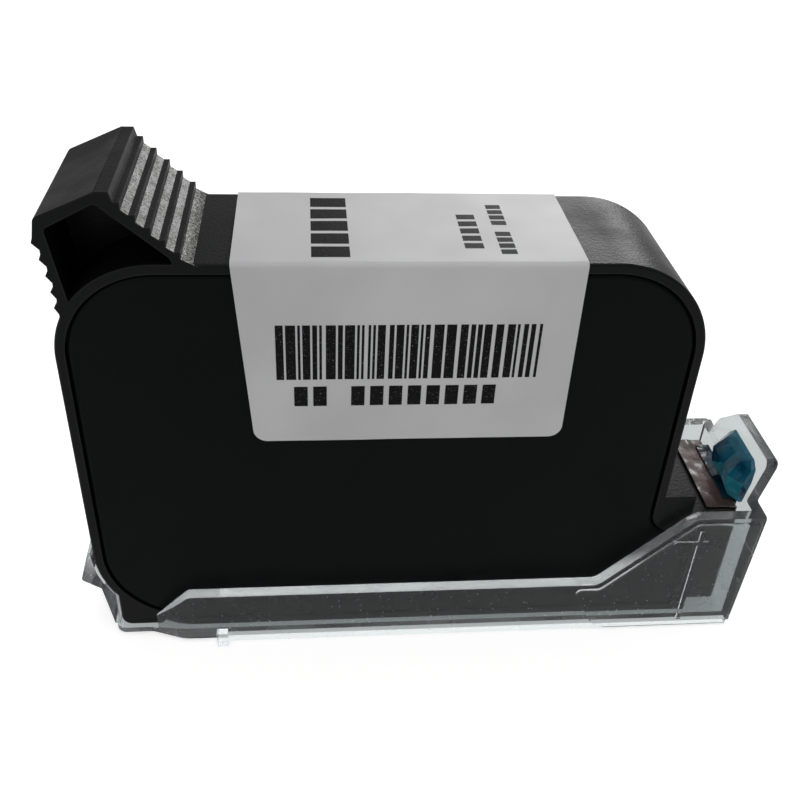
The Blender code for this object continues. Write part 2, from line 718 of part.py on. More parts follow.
def nozzle_tape():
    """A tape over the nozzle face, folded over the top edge, with a looped pull tab."""
    low = BODY_BOTTOM + CONTACT_RECESS + 1.0
    top = SNOUT_TOP + FLEX_THICK + 2 * SEAT
    face = TAPE_FACE
    corners = [
        (face - TAPE_THICK, low, 0),
        (face, low, 0),
        (face, top + TAPE_THICK, 0),
        (face - TAPE_OVERLAP, top + TAPE_THICK, 0),
        (face - TAPE_OVERLAP, top, 0),
        (face - TAPE_THICK, top, 0),
    ]
    tape = slab("nozzle_tape", corners, -TAPE_WIDTH / 2, TAPE_WIDTH / 2, TEAL)
    lean = CAP_TAB_FLARE / CAP_TAB_RISE
    wall_low = CAP_HIGH_WALL
    tip = top + TAB_HEIGHT

    def against_wall(z):
        return CAP_INSIDE - CAP_END_GAP + lean * max(z - wall_low, 0.0)

    loop = [
        (face, top - 0.6, 0),
        (against_wall(wall_low), wall_low, 0.4),
        (against_wall(tip - 0.6), tip - 0.6, 0.2),
        (against_wall(tip) - 0.5, tip, 0.2),
        (face - 0.9, top + TAB_HEIGHT * 0.5, 1.2),
        (face - 0.6, top + TAPE_THICK / 2, 0),
        (face - TAPE_THICK, top + TAPE_THICK / 2, 0),
        (face - TAPE_THICK, top - 0.6, 0),
    ]
    tab = slab("tab", loop, TAB_SHIFT - TAB_WIDTH / 2, TAB_SHIFT + TAB_WIDTH / 2, TEAL, segments=4)
    low_y, high_y = TAB_SHIFT - TAB_WIDTH / 2, TAB_SHIFT + TAB_WIDTH / 2
    shape = [
        (low_y, top - 1, 0),
        (high_y, top - 1, 0),
        (high_y, top + TAB_HEIGHT * 0.45, 0),
        (high_y - 2.4, tip + 0.05, 0),
        (low_y + 1.2, tip + 0.05, 0),
        (low_y, top + TAB_HEIGHT * 0.6, 0),
    ]
    cross(tab, strip("tab_outline", shape, face - 4, face + 4, TEAL))
    join(tape, tab)


def label():
    """A paper label folded over the top edge, its left edge a little askew."""
    inside = HALF + SEAT
    outside = inside + LABEL_THICK
    low = BODY_TOP - LABEL_DROP
    fold = [
        (-outside, low - 1, 0),
        (-inside, low - 1, 0),
        (-inside, BODY_TOP + SEAT, 0),
        (inside, BODY_TOP + SEAT, 0),
        (inside, low - 1, 0),
        (outside, low - 1, 0),
        (outside, BODY_TOP + SEAT + LABEL_THICK, 0.1),
        (-outside, BODY_TOP + SEAT + LABEL_THICK, 0.1),
    ]
    end = LABEL_START + LABEL_LENGTH
    paper = strip("label", fold, LABEL_START - 1, end + 1, PAPER, segments=3)
    face = [
        (LABEL_START + LABEL_SKEW, low, LABEL_CORNER),
        (end, low, LABEL_CORNER),
        (end, BODY_TOP + 2, 0),
        (LABEL_START, BODY_TOP + 2, 0),
    ]
    cross(paper, slab("label_outline", face, -HALF - 2, HALF + 2, PAPER))


# Protective cap ---------------------------------------------------------------------


def cap_side(side):
    """A side wall: low along the body, then up a slope to the nozzle end. The cap's outline trims it."""
    rise = CAP_HIGH_WALL - CAP_LOW_WALL
    start, end = CAP_WALL_START + CAP_WALL / 2, CAP_INSIDE + CAP_WALL / 3
    corners = [
        (start, CAP_RAIL, 0),
        (end, CAP_RAIL, 0),
        (end, CAP_HIGH_WALL, 0),
        (CAP_SLOPE_START + rise, CAP_HIGH_WALL, 2.0),
        (CAP_SLOPE_START, CAP_LOW_WALL, 2.0),
        (CAP_LOW_START, CAP_LOW_WALL, 1.0),
        (start, CAP_LOW_WALL - CAP_LOW_START + start, 0),
    ]
    return slab("cap_side", corners, *between(side, CAP_HALF - CAP_WALL, CAP_HALF + 1), CLEAR)


def cap_trim(side):
    """What stands proud of a side wall: the thicker area round the nozzle end, and two ribs on it."""
    rise = CAP_HIGH_WALL - CAP_LOW_WALL
    bulge = [
        (CAP_PAD_START + 4.0, CAP_RAIL - 0.4, 3.5),
        (CAP_END - CAP_END_DRAFT - 0.5, CAP_RAIL - 0.4, 0),
        (CAP_END - 0.5, CAP_HIGH_WALL - 0.7, 0.6),
        (CAP_SLOPE_START + rise + 0.3, CAP_HIGH_WALL - 0.7, 1.6),
        (CAP_SLOPE_START + 0.4, CAP_LOW_WALL - 0.7, 1.6),
        (CAP_PAD_START, CAP_LOW_WALL - 0.7, 0.8),
    ]
    outer = CAP_HALF + CAP_PAD
    pad = slab("pad", bulge, *between(side, CAP_HALF - 0.5, outer), CLEAR)
    y0, y1 = between(side, outer - 0.3, outer + CAP_RIB)
    rib_x = ROOT_END - CAP_RIB_SHIFT
    half = CAP_RIB_WIDTH / 2
    low, high = (rib_x - half, y0, CAP_TOP + 0.4), (rib_x + half, y1, CAP_HIGH_WALL - 1.6)
    upright = box("rib", low, high, CLEAR)
    level = SNOUT_TOP - CAP_RIB_DROP
    start = CAP_SLOPE_START + level - CAP_LOW_WALL + 1.2
    end = rib_x + CAP_RIB_SHIFT
    ledge = box("rib", (start, y0, level - half), (end, y1, level + half), CLEAR)
    return join(pad, upright, ledge)


def cap_rail(side):
    y0, y1 = between(side, CAP_HALF - CAP_WALL, CAP_HALF)
    end = CAP_END - CAP_END_DRAFT - 0.4
    rail = box("rail", (CAP_RAIL_START, y0, 0.0), (end, y1, CAP_RAIL + 0.3), CLEAR)
    y0, y1 = between(side, CAP_HALF - CAP_WALL, CAP_HALF + CAP_NUB)
    nub = box("nub", (CAP_RAIL_START, y0, 0.0), (CAP_RAIL_START + CAP_NUB_LENGTH, y1, CAP_NUB_TOP), CLEAR)
    return join(rail, nub)


def cap_plan(end):
    """The cap from above: a narrow tongue, cheeks that swell out of it, then the full width."""
    tongue, cheek = CAP_HALF - CAP_WALL, CAP_WALL_START + CAP_CHEEK
    return [
        (CAP_TONGUE_START, -tongue, 1.5),
        (CAP_WALL_START, -tongue, 3.0),
        (cheek, -CAP_HALF, 6.0),
        (end, -CAP_HALF, 0),
        (end, CAP_HALF, 0),
        (cheek, CAP_HALF, 6.0),
        (CAP_WALL_START, tongue, 3.0),
        (CAP_TONGUE_START, tongue, 1.5),
    ]


def protective_cap():
    low, high = (0, -CAP_HALF - 1, CAP_RAIL), (CAP_INSIDE + CAP_WALL / 3, CAP_HALF + 1, CAP_TOP)
    cap = join(box("protective_cap", low, high, CLEAR), *sides(cap_side))
    top = CAP_HIGH_WALL + CAP_TAB_RISE
    flare = [
        (CAP_INSIDE, CAP_RAIL, 0),
        (CAP_END - CAP_END_DRAFT, CAP_RAIL, 0),
        (CAP_END, CAP_HIGH_WALL, 0),
        (CAP_END + CAP_TAB_FLARE, top, 0.3),
        (CAP_INSIDE + CAP_TAB_FLARE, top, 0.3),
        (CAP_INSIDE, CAP_HIGH_WALL, 0),
    ]
    end = slab("end", flare, -CAP_HALF, CAP_HALF, CLEAR, segments=3)
    outline = [
        (-CAP_HALF, CAP_RAIL, 0),
        (CAP_HALF, CAP_RAIL, 0),
        (CAP_HALF, CAP_HIGH_WALL, 0.5),
        (CAP_TAB_CORNER + 0.6, CAP_HIGH_WALL, 0.4),
        (CAP_TAB_CORNER, CAP_HIGH_WALL + CAP_TAB_SHOULDER, 1.5),
        (CAP_TAB_BACK, top, 1.5),
        (-CAP_TAB_FRONT, top, 1.2),
        (-CAP_TAB_FRONT, CAP_HIGH_WALL, 0.4),
        (-CAP_HALF, CAP_HIGH_WALL, 0.5),
    ]
    cross(end, strip("end_outline", outline, CAP_INSIDE - 3, CAP_END + 5, CLEAR, segments=6))
    cross(cap, sheet("cap_outline", cap_plan(CAP_END + 1), CAP_RAIL - 1, top, CLEAR))
    join(cap, end, *sides(cap_trim), *sides(cap_rail))


def cap_latch_arm():
    """A springy arm that follows the body's corner, with a finger wedge at its top."""
    inner = []
    centre_z = BODY_BOTTOM + RADIUS_BOTTOM_LEFT
    reach = RADIUS_BOTTOM_LEFT + ARM_GAP
    inner_x = LUG_START - ARM_GAP
    lug_angle = math.acos((RADIUS_BOTTOM_LEFT - inner_x) / reach)
    steps = 8
    for i in range(steps + 1):
        angle = lug_angle * (steps - i) / steps
        inner.append((RADIUS_BOTTOM_LEFT - reach * math.cos(angle), centre_z - reach * math.sin(angle), 0))
    root = CAP_TOP + JOINT_GAP
    outline = [
        (-ARM_GAP - 0.4, ARM_TOP, 0),
        (-ARM_TIP_REACH, ARM_TIP_HEIGHT, 0.5),
        (inner_x - ARM_ROOT_THICK - 1.0, ARM_TIP_HEIGHT - 1.7, 0),
        (inner_x - ARM_ROOT_THICK, root, 0),
        (inner_x, root, 0),
        *inner,
        (-ARM_GAP, ARM_TOP, 0),
    ]
    arm = slab("cap_latch_arm", outline, -ARM_WIDTH / 2, ARM_WIDTH / 2, CLEAR, segments=4)
    hinge = placed(inner_x - ARM_ROOT_THICK / 2, 0.0, CAP_TOP + JOINT_GAP / 2)
    arm.data.transform(Matrix.Translation(-hinge))
    arm.location = hinge


# Side covers ------------------------------------------------------------------------


def side_cover(side):
    outer = HALF - COVER_SETBACK
    name = "front_cover" if side < 0 else "back_cover"
    corners = cover_corners(RIM_WIDTH + 0.15)
    slab(name, corners, *between(side, outer - COVER_THICK, outer), BLACK_SATIN, 0.25, 10)


outer_frame()
inner_frame()
ink_bag()
sides(side_cover)
fill_port_ball()
printhead()
flex_circuit()
nozzle_tape()
label()
protective_cap()
cap_latch_arm()
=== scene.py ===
import math
import random

import bmesh
import bpy
from mathutils import Matrix, Vector, noise


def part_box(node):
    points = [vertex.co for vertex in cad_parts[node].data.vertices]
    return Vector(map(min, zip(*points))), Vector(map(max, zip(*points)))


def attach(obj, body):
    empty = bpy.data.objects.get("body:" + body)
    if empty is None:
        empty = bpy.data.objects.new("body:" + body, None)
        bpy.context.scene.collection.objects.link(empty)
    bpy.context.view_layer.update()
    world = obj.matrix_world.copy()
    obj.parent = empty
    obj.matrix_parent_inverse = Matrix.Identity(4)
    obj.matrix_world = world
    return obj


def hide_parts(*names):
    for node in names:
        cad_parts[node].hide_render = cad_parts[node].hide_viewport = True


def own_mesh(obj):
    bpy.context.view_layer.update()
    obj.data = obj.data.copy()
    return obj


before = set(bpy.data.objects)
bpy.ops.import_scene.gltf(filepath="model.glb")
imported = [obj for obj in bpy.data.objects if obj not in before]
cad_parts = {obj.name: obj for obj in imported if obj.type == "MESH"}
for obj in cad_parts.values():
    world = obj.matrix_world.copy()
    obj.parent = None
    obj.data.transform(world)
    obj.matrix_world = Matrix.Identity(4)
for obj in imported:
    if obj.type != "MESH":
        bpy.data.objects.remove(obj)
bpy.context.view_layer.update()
print("frame loaded")

mm = 0.001
coverInset = 1.35  # from the body's left edge to the front cover's
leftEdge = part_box("front_cover")[0].x - coverInset * mm


def at(x, y, z):  # millimetres from the left edge, the middle plane and the floor
    return Vector((leftEdge + x * mm, y * mm, z * mm))


# Outlines: corners are (u, v, radius), anticlockwise


def cornersInset(corners, distance):
    moved = []
    for i, (u, v, radius) in enumerate(corners):
        before, after = corners[i - 1], corners[(i + 1) % len(corners)]
        first = Vector((u - before[0], v - before[1])).normalized()
        second = Vector((after[0] - u, after[1] - v)).normalized()
        left = Vector((-first.y, first.x))
        bisector = (left + Vector((-second.y, second.x))).normalized()
        reach = distance / bisector.dot(left)
        convex = first.x * second.y - first.y * second.x > 0
        grown = max(radius - distance if convex else radius + distance, 0.05) if radius else 0.0
        moved.append((u + bisector.x * reach, v + bisector.y * reach, grown))
    return moved


def roundedPath(corners, segments=12):
    points = []
    for i, (u, v, radius) in enumerate(corners):
        corner = Vector((u, v))
        if not radius:
            points.append(corner)
            continue
        before = (Vector(corners[i - 1][:2]) - corner).normalized()
        after = (Vector(corners[(i + 1) % len(corners)][:2]) - corner).normalized()
        half = before.angle(after) / 2
        start = corner + before * radius / math.tan(half)
        middle = corner + (before + after).normalized() * radius / math.sin(half)
        sweep = math.pi - 2 * half
        if before.x * after.y - before.y * after.x > 0:
            sweep = -sweep
        arm = start - middle
        for step in range(segments + 1):
            a = sweep * step / segments
            points.append(middle + Vector((arm.x * math.cos(a) - arm.y * math.sin(a),
                                           arm.x * math.sin(a) + arm.y * math.cos(a))))
    return points


def newPiece(name, mesh):
    data = bpy.data.meshes.new(name)
    mesh.to_mesh(data)
    mesh.free()
    piece = bpy.data.objects.new(name, data)
    bpy.context.scene.collection.objects.link(piece)
    return piece


def skinned(name, rings):  # a closed skin through rings of equally many points
    mesh = bmesh.new()
    loops = [[mesh.verts.new(point) for point in ring] for ring in rings]
    for low, high in zip(loops, loops[1:]):
        for i in range(len(low)):
            j = (i + 1) % len(low)
            mesh.faces.new((low[i], low[j], high[j], high[i]))
    mesh.faces.new(loops[0][::-1])
    mesh.faces.new(loops[-1])
    bmesh.ops.recalc_face_normals(mesh, faces=mesh.faces)
    return newPiece(name, mesh)


def roundLayers(low, high, edgeLow=0.0, edgeHigh=0.0, steps=4):  # (height, inset) pairs
    layers = []
    for edge, base, way in ((edgeLow, low, 1), (edgeHigh, high, -1)):
        if edge:
            side = []
            for k in range(steps + 1):
                a = math.pi / 2 * k / steps
                side.append((base + way * edge * (1 - math.cos(a)), edge * (1 - math.sin(a))))
        else:
            side = [(base, 0.0)]
        layers += side if way > 0 else side[::-1]
    return layers


def layered(name, corners, low, high, edges, segments, place):  # an outline pulled from low to high
    rings = []
    for level, step in roundLayers(low, high, *edges):
        path = roundedPath(cornersInset(corners, step) if step else corners, segments)
        rings.append([place(point, level) for point in path])
    return skinned(name, rings)


def slab(name, corners, y0, y1, edges=(0.0, 0.0), segments=12):  # outline in x and z, pulled along y
    return layered(name, corners, y0, y1, edges, segments, lambda point, y: at(point.x, y, point.y))


def plate(name, corners, z0, z1):  # outline in x and y, pulled along z
    return layered(name, corners, z0, z1, (0.0, 0.0), 12, lambda point, z: at(point.x, point.y, z))


def bar(name, corners, x0, x1):  # outline in y and z, pulled along x
    path = roundedPath(corners)
    return skinned(name, [[at(x, point.x, point.y) for point in path] for x in (x0, x1)])


def block(name, low, high):
    (x0, y0, z0), (x1, y1, z1) = low, high
    return slab(name, [(x0, z0, 0), (x1, z0, 0), (x1, z1, 0), (x0, z1, 0)], y0, y1)


def booleans(target, operation, tools):
    for tool in tools:
        step = target.modifiers.new(operation, "BOOLEAN")
        step.operation = operation
        step.object = tool
        bakeModifiers(target)
        bpy.data.objects.remove(tool)
    return target


def bakeModifiers(piece):
    graph = bpy.context.evaluated_depsgraph_get()
    result = bpy.data.meshes.new_from_object(piece.evaluated_get(graph))
    piece.modifiers.clear()
    piece.data = result


def added(target, *tools):
    return booleans(target, "UNION", tools)


def cutAway(target, *tools):
    return booleans(target, "DIFFERENCE", tools)


def kept(target, *tools):
    return booleans(target, "INTERSECT", tools)


def span(side, inner, outer):  # the y range of something on one side, -1 front and 1 back
    return sorted((side * inner, side * outer))


def softenEdges(piece, width, segments=2, angle=35):
    mesh = bmesh.new()
    mesh.from_mesh(piece.data)
    bmesh.ops.remove_doubles(mesh, verts=mesh.verts, dist=2e-6)
    bmesh.ops.dissolve_limit(mesh, angle_limit=math.radians(0.4), verts=mesh.verts, edges=mesh.edges)
    mesh.to_mesh(piece.data)
    mesh.free()
    bevel = piece.modifiers.new("edges", "BEVEL")
    bevel.width = width * mm
    bevel.segments = segments
    bevel.limit_method = "ANGLE"
    bevel.angle_limit = math.radians(angle)
    bakeModifiers(piece)
    smoothed(piece)


def smoothed(piece, angle=32):
    piece.data.shade_smooth()
    piece.data.set_sharp_from_angle(angle=math.radians(angle))
    weights = piece.modifiers.new("normals", "WEIGHTED_NORMAL")
    weights.keep_sharp = True


def finished(piece, material, body, slot, *nodes):
    piece.data.materials.clear()
    for look in material if isinstance(material, (list, tuple)) else (material,):
        piece.data.materials.append(look)
    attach(piece, body)
    if nodes:
        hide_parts(*nodes)
    return piece


# Shared effects, as node groups


def effect(name, inputs, outputs):
    tree = bpy.data.node_groups.new(name, "ShaderNodeTree")
    for label, value in inputs.items():
        socket = tree.interface.new_socket(name=label, in_out="INPUT", socket_type="NodeSocketFloat")
        socket.default_value = value
    for label in outputs:
        tree.interface.new_socket(name=label, in_out="OUTPUT", socket_type="NodeSocketFloat")
    return tree, tree.nodes.new("NodeGroupInput"), tree.nodes.new("NodeGroupOutput")


def node(tree, kind, settings=None, **values):
    made = tree.nodes.new("ShaderNode" + kind)
    for key, value in (settings or {}).items():
        setattr(made, key, value)
    for key, value in values.items():
        socket = made.inputs[int(key[1:])] if key[0] == "i" and key[1:].isdigit() else made.inputs[key]
        if isinstance(value, bpy.types.NodeSocket):
            tree.links.new(value, socket)
        else:
            socket.default_value = value
    return made


def math2(tree, operation, a, b, clamp=False):
    return node(tree, "Math", {"operation": operation, "use_clamp": clamp}, i0=a, i1=b).outputs[0]


def objectPoint(tree):
    return node(tree, "TexCoord").outputs["Object"]


def ranged(tree, value, low, high, toLow=0.0, toHigh=1.0):
    made = node(tree, "MapRange", {"interpolation_type": "SMOOTHSTEP"}, Value=value)
    for label, number in (("From Min", low), ("From Max", high), ("To Min", toLow), ("To Max", toHigh)):
        made.inputs[label].default_value = number
    return made.outputs[0]


def noiseAt(tree, scale, detail=3.0, point=None, rough=0.5):
    made = node(tree, "TexNoise", Vector=point or objectPoint(tree), Scale=scale, Detail=detail,
                Roughness=rough)
    return made.outputs[0]


def rubbedEdgesAndHighlight():  # where corners have been rubbed, with a painted highlight on them as well: 1 on an edge, broken up in patches
    tree, given, out = effect("rubbedEdgesAndHighlight", {"Radius": 0.0003, "Gain": 5.0, "Patches": 420.0}, ["Mask"])
    rounded = node(tree, "Bevel", {"samples": 4}, Radius=given.outputs["Radius"])
    plain = node(tree, "NewGeometry").outputs["Normal"]
    same = node(tree, "VectorMath", {"operation": "DOT_PRODUCT"}, i0=rounded.outputs[0], i1=plain)
    turned = math2(tree, "SUBTRACT", 1.0, same.outputs["Value"])
    patches = ranged(tree, noiseAt(tree, given.outputs["Patches"]), 0.3, 0.7, 0.35, 1.0)
    mask = math2(tree, "MULTIPLY", math2(tree, "MULTIPLY", turned, given.outputs["Gain"]), patches, clamp=True)
    tree.links.new(mask, out.inputs["Mask"])
    return tree


def mouldGrain():  # the sparked texture of a mould: fine pits, and a fleck mask that the grip's slopes use for painted glints
    tree, given, out = effect("mouldGrain", {"Scale": 6000.0, "Coarse": 1800.0}, ["Height", "GlintFleck"])
    fine = noiseAt(tree, given.outputs["Scale"], 2.0)
    pits = node(tree, "TexVoronoi", Vector=objectPoint(tree), Scale=given.outputs["Coarse"]).outputs["Distance"]
    height = math2(tree, "ADD", math2(tree, "MULTIPLY", fine, 0.6), math2(tree, "MULTIPLY", pits, 0.4))
    glintFleck = ranged(tree, height, 0.42, 0.62)
    tree.links.new(height, out.inputs["Height"])
    tree.links.new(glintFleck, out.inputs["GlintFleck"])
    return tree


def handledHaze():  # the uneven film that hands leave: slow patches with a few fine scuffs
    tree, given, out = effect("handledHaze", {"Scale": 60.0, "Scuffs": 900.0}, ["Mask", "Scuff"])
    patches = ranged(tree, noiseAt(tree, given.outputs["Scale"], 4.0), 0.35, 0.7)
    stretch = node(tree, "Mapping", Vector=objectPoint(tree), Rotation=(0.3, 0.5, 0.2), Scale=(1.0, 0.05, 1.0))
    lines = noiseAt(tree, given.outputs["Scuffs"], 1.0, stretch.outputs[0])
    tree.links.new(patches, out.inputs["Mask"])
    tree.links.new(ranged(tree, lines, 0.68, 0.74), out.inputs["Scuff"])
    return tree


def settledDust():  # specks and lint on faces that look up
    tree, given, out = effect("settledDust", {"Scale": 2500.0, "Amount": 0.5}, ["Mask"])
    up = node(tree, "SeparateXYZ", Vector=node(tree, "NewGeometry").outputs["Normal"]).outputs["Z"]
    specks = ranged(tree, noiseAt(tree, given.outputs["Scale"], 2.0), 0.62, 0.7)
    film = ranged(tree, noiseAt(tree, 180.0, 5.0), 0.3, 0.9, 0.0, 0.5)
    both = math2(tree, "MULTIPLY", math2(tree, "MAXIMUM", specks, film), ranged(tree, up, 0.2, 0.9))
    tree.links.new(math2(tree, "MULTIPLY", both, given.outputs["Amount"], clamp=True), out.inputs["Mask"])
    return tree


def filmRipple():  # slack film: long soft waves and small creases
    tree, given, out = effect("filmRipple", {"Waves": 350.0, "Creases": 900.0}, ["Height"])
    waves = noiseAt(tree, given.outputs["Waves"], 1.0)
    creases = node(tree, "TexVoronoi", {"feature": "DISTANCE_TO_EDGE"}, Vector=objectPoint(tree),
                   Scale=given.outputs["Creases"]).outputs["Distance"]
    sharp = ranged(tree, creases, 0.0, 0.25)
    tree.links.new(math2(tree, "ADD", waves, math2(tree, "MULTIPLY", sharp, 0.25)), out.inputs["Height"])
    return tree


edgeWearAndHighlightEffect, grainEffect, hazeEffect = rubbedEdgesAndHighlight(), mouldGrain(), handledHaze()
dustEffect, rippleEffect = settledDust(), filmRipple()


def use(tree, group, **values):
    made = tree.nodes.new("ShaderNodeGroup")
    made.node_tree = group
    for label, value in values.items():
        made.inputs[label].default_value = value
    return made.outputs


def newLook(name, **values):
    look = bpy.data.materials.new(name)
    look.use_nodes = True
    shader = look.node_tree.nodes["Principled BSDF"]
    for label, value in values.items():
        label = label.replace("_", " ")
        shader.inputs[label].default_value = (*value, 1.0) if isinstance(value, tuple) else value
    return look, look.node_tree, shader


def mixed(tree, mask, colorA, colorB):
    made = node(tree, "Mix", {"data_type": "RGBA"})
    tree.links.new(mask, made.inputs[0])
    for socket, value in ((made.inputs[6], colorA), (made.inputs[7], colorB)):
        if isinstance(value, bpy.types.NodeSocket):
            tree.links.new(value, socket)
        else:
            socket.default_value = (*value, 1.0)
    return made.outputs[2]


def colored(tree, shader, color):
    tree.links.new(color, shader.inputs["Base Color"])


def bumped(tree, shader, height, strength, distance=0.05):
    bump = node(tree, "Bump", Height=height, Strength=strength, Distance=distance * mm)
    tree.links.new(bump.outputs[0], shader.inputs["Normal"])


def roughened(tree, shader, mask, low, high):
    tree.links.new(ranged(tree, mask, 0.0, 1.0, low, high), shader.inputs["Roughness"])


def grainedPlastic(name, color, rubbedAndLitEdge, dusty, rough, grain=0.35, specular=0.5, edgeGain=4.0):
    look, tree, shader = newLook(name, Specular_IOR_Level=specular)
    grained = use(tree, grainEffect, Scale=4200.0, Coarse=2300.0)
    wornAndLitEdge = use(tree, edgeWearAndHighlightEffect, Radius=0.00035, Gain=edgeGain)["Mask"]
    haze = use(tree, hazeEffect, Scale=70.0)
    dust = use(tree, dustEffect, Amount=0.22)["Mask"]
    # the edge colour is rubbing wear and painted edge highlight together
    base = mixed(tree, wornAndLitEdge, color, rubbedAndLitEdge)
    colored(tree, shader, mixed(tree, dust, base, dusty))
    roughened(tree, shader, haze["Mask"], *rough)
    bumped(tree, shader, grained["Height"], grain)
    return look


def slopeGrainAndPaintedSheen(name):  # coarse grain on the slopes of the grip's steps, with bright flecks painted on as sheen
    look, tree, shader = newLook(name, Specular_IOR_Level=0.5)
    grained = use(tree, grainEffect, Scale=3400.0, Coarse=2400.0)
    patches = ranged(tree, noiseAt(tree, 500.0, 3.0), 0.3, 0.7, 0.0, 1.0)
    glintFleck = math2(tree, "MULTIPLY", grained["GlintFleck"], ranged(tree, patches, 0.0, 1.0, 0.55, 1.0))
    # the bright colour of the flecks is painted sheen, the light the slopes catch
    colored(tree, shader, mixed(tree, glintFleck, (0.03, 0.03, 0.029), (0.3, 0.3, 0.29)))
    roughened(tree, shader, patches, 0.34, 0.5)
    bumped(tree, shader, grained["Height"], 1.0, 0.14)
    return look


def clearPlastic(name, color, rough):
    look, tree, shader = newLook(name, Base_Color=color, Transmission_Weight=0.97, IOR=1.27)
    haze = use(tree, hazeEffect, Scale=110.0, Scuffs=1400.0)
    spread = math2(tree, "MAXIMUM", math2(tree, "MULTIPLY", haze["Mask"], 0.5), haze["Scuff"])
    roughened(tree, shader, spread, *rough)
    ripple = use(tree, rippleEffect, Waves=90.0, Creases=60.0)["Height"]
    bumped(tree, shader, ripple, 0.08, 0.2)
    return look


def tealFilmLook(name, deep, light, through):
    look, tree, shader = newLook(name, Transmission_Weight=through, IOR=1.5, Specular_IOR_Level=0.35)
    ripple = use(tree, rippleEffect, Waves=420.0, Creases=520.0)["Height"]
    clouds = ranged(tree, noiseAt(tree, 260.0, 3.0), 0.38, 0.62)
    colored(tree, shader, mixed(tree, clouds, deep, light))
    roughened(tree, shader, ripple, 0.06, 0.2)
    bumped(tree, shader, ripple, 0.35, 0.2)
    return look


def flexLook(name):
    look, tree, shader = newLook(name, Metallic=0.15, Specular_IOR_Level=0.3, Coat_Roughness=0.1)
    ripple = use(tree, rippleEffect, Waves=520.0, Creases=700.0)["Height"]
    clouds = ranged(tree, noiseAt(tree, 200.0, 3.0), 0.35, 0.7)
    colored(tree, shader, mixed(tree, clouds, (0.055, 0.034, 0.03), (0.1, 0.06, 0.053)))
    roughened(tree, shader, ripple, 0.22, 0.42)
    tree.links.new(ranged(tree, noiseAt(tree, 260.0, 2.0), 0.4, 0.6), shader.inputs["Coat Weight"])
    bumped(tree, shader, ripple, 0.2, 0.2)
    return look


def paperLook(name, color, shade):
    look, tree, shader = newLook(name, Specular_IOR_Level=0.35, Sheen_Weight=0.1)
    fibres = noiseAt(tree, 5200.0, 4.0, rough=0.7)
    cloud = noiseAt(tree, 55.0, 3.0)
    tone = mixed(tree, ranged(tree, cloud, 0.35, 0.7), color, shade)
    flecks = ranged(tree, fibres, 0.55, 0.75, 0.0, 0.12)
    colored(tree, shader, mixed(tree, flecks, tone, (0.3, 0.3, 0.3)))
    roughened(tree, shader, cloud, 0.42, 0.6)
    bumped(tree, shader, fibres, 0.12, 0.02)
    return look


def inkLook(name, color):
    look, tree, shader = newLook(name, Specular_IOR_Level=0.08)
    speckle = noiseAt(tree, 7000.0, 2.0)
    colored(tree, shader, mixed(tree, ranged(tree, speckle, 0.66, 0.74), color, (0.3, 0.3, 0.3)))
    roughened(tree, shader, speckle, 0.4, 0.6)
    return look


def metalLook(name, color, rough, stretch=(1.0, 1.0, 0.03), scale=6000.0, depth=0.15):
    look, tree, shader = newLook(name, Metallic=1.0)
    run = node(tree, "Mapping", Vector=objectPoint(tree), Scale=stretch)
    lines = noiseAt(tree, scale, 2.0, run.outputs[0])
    dark = tuple(part * 0.72 for part in color)
    colored(tree, shader, mixed(tree, lines, dark, color))
    roughened(tree, shader, lines, *rough)
    bumped(tree, shader, lines, depth, 0.01)
    return look


def weaveLook(name):
    look, tree, shader = newLook(name, Metallic=0.9)
    runs = [node(tree, "TexWave", {"bands_direction": way}, Vector=objectPoint(tree), Scale=900.0)
            for way in "XZ"]
    wires = math2(tree, "MAXIMUM", *[run.outputs["Fac"] for run in runs])
    colored(tree, shader, mixed(tree, wires, (0.05, 0.05, 0.055), (0.6, 0.6, 0.62)))
    roughened(tree, shader, wires, 0.5, 0.3)
    bumped(tree, shader, wires, 0.8, 0.06)
    return look


def nozzleLook(name):  # dark gold plate with two rows of pinholes
    look, tree, shader = newLook(name, Metallic=0.6)
    parts = node(tree, "SeparateXYZ", Vector=objectPoint(tree))
    rows = node(tree, "TexWave", {"bands_direction": "Z"}, Vector=objectPoint(tree), Scale=2000.0)
    offset = math2(tree, "ABSOLUTE", parts.outputs["Y"], 0.0)
    aside = math2(tree, "ABSOLUTE", math2(tree, "SUBTRACT", offset, 0.0021), 0.0)
    near = math2(tree, "LESS_THAN", aside, 0.00012)
    holes = math2(tree, "MULTIPLY", near, ranged(tree, rows.outputs["Fac"], 0.4, 0.6))
    colored(tree, shader, mixed(tree, holes, (0.36, 0.28, 0.14), (0.01, 0.01, 0.01)))
    roughened(tree, shader, noiseAt(tree, 800.0), 0.2, 0.35)
    return look


# each grained plastic's second colour is its rubbed edges, lighter also as a painted highlight
shellLook = grainedPlastic("grainedShell", (0.0035, 0.004, 0.004), (0.022, 0.023, 0.022), (0.03, 0.03, 0.029),
                            (0.36, 0.52), grain=0.9, specular=0.12)
slopeSheenLook = slopeGrainAndPaintedSheen("slopeGrainAndPaintedSheen")
panelLook = grainedPlastic("satinPanel", (0.003, 0.0037, 0.0038), (0.02, 0.021, 0.021), (0.02, 0.02, 0.02),
                           (0.42, 0.52), grain=0.1, specular=0.06, edgeGain=2.5)
innerLook = grainedPlastic("greyInner", (0.11, 0.11, 0.12), (0.2, 0.2, 0.21), (0.2, 0.2, 0.2), (0.5, 0.65))
capLook = clearPlastic("clearStyrene", (0.52, 0.55, 0.555), (0.1, 0.28))
tabLook = tealFilmLook("tealTab", (0.002, 0.045, 0.11), (0.008, 0.17, 0.26), 0.4)
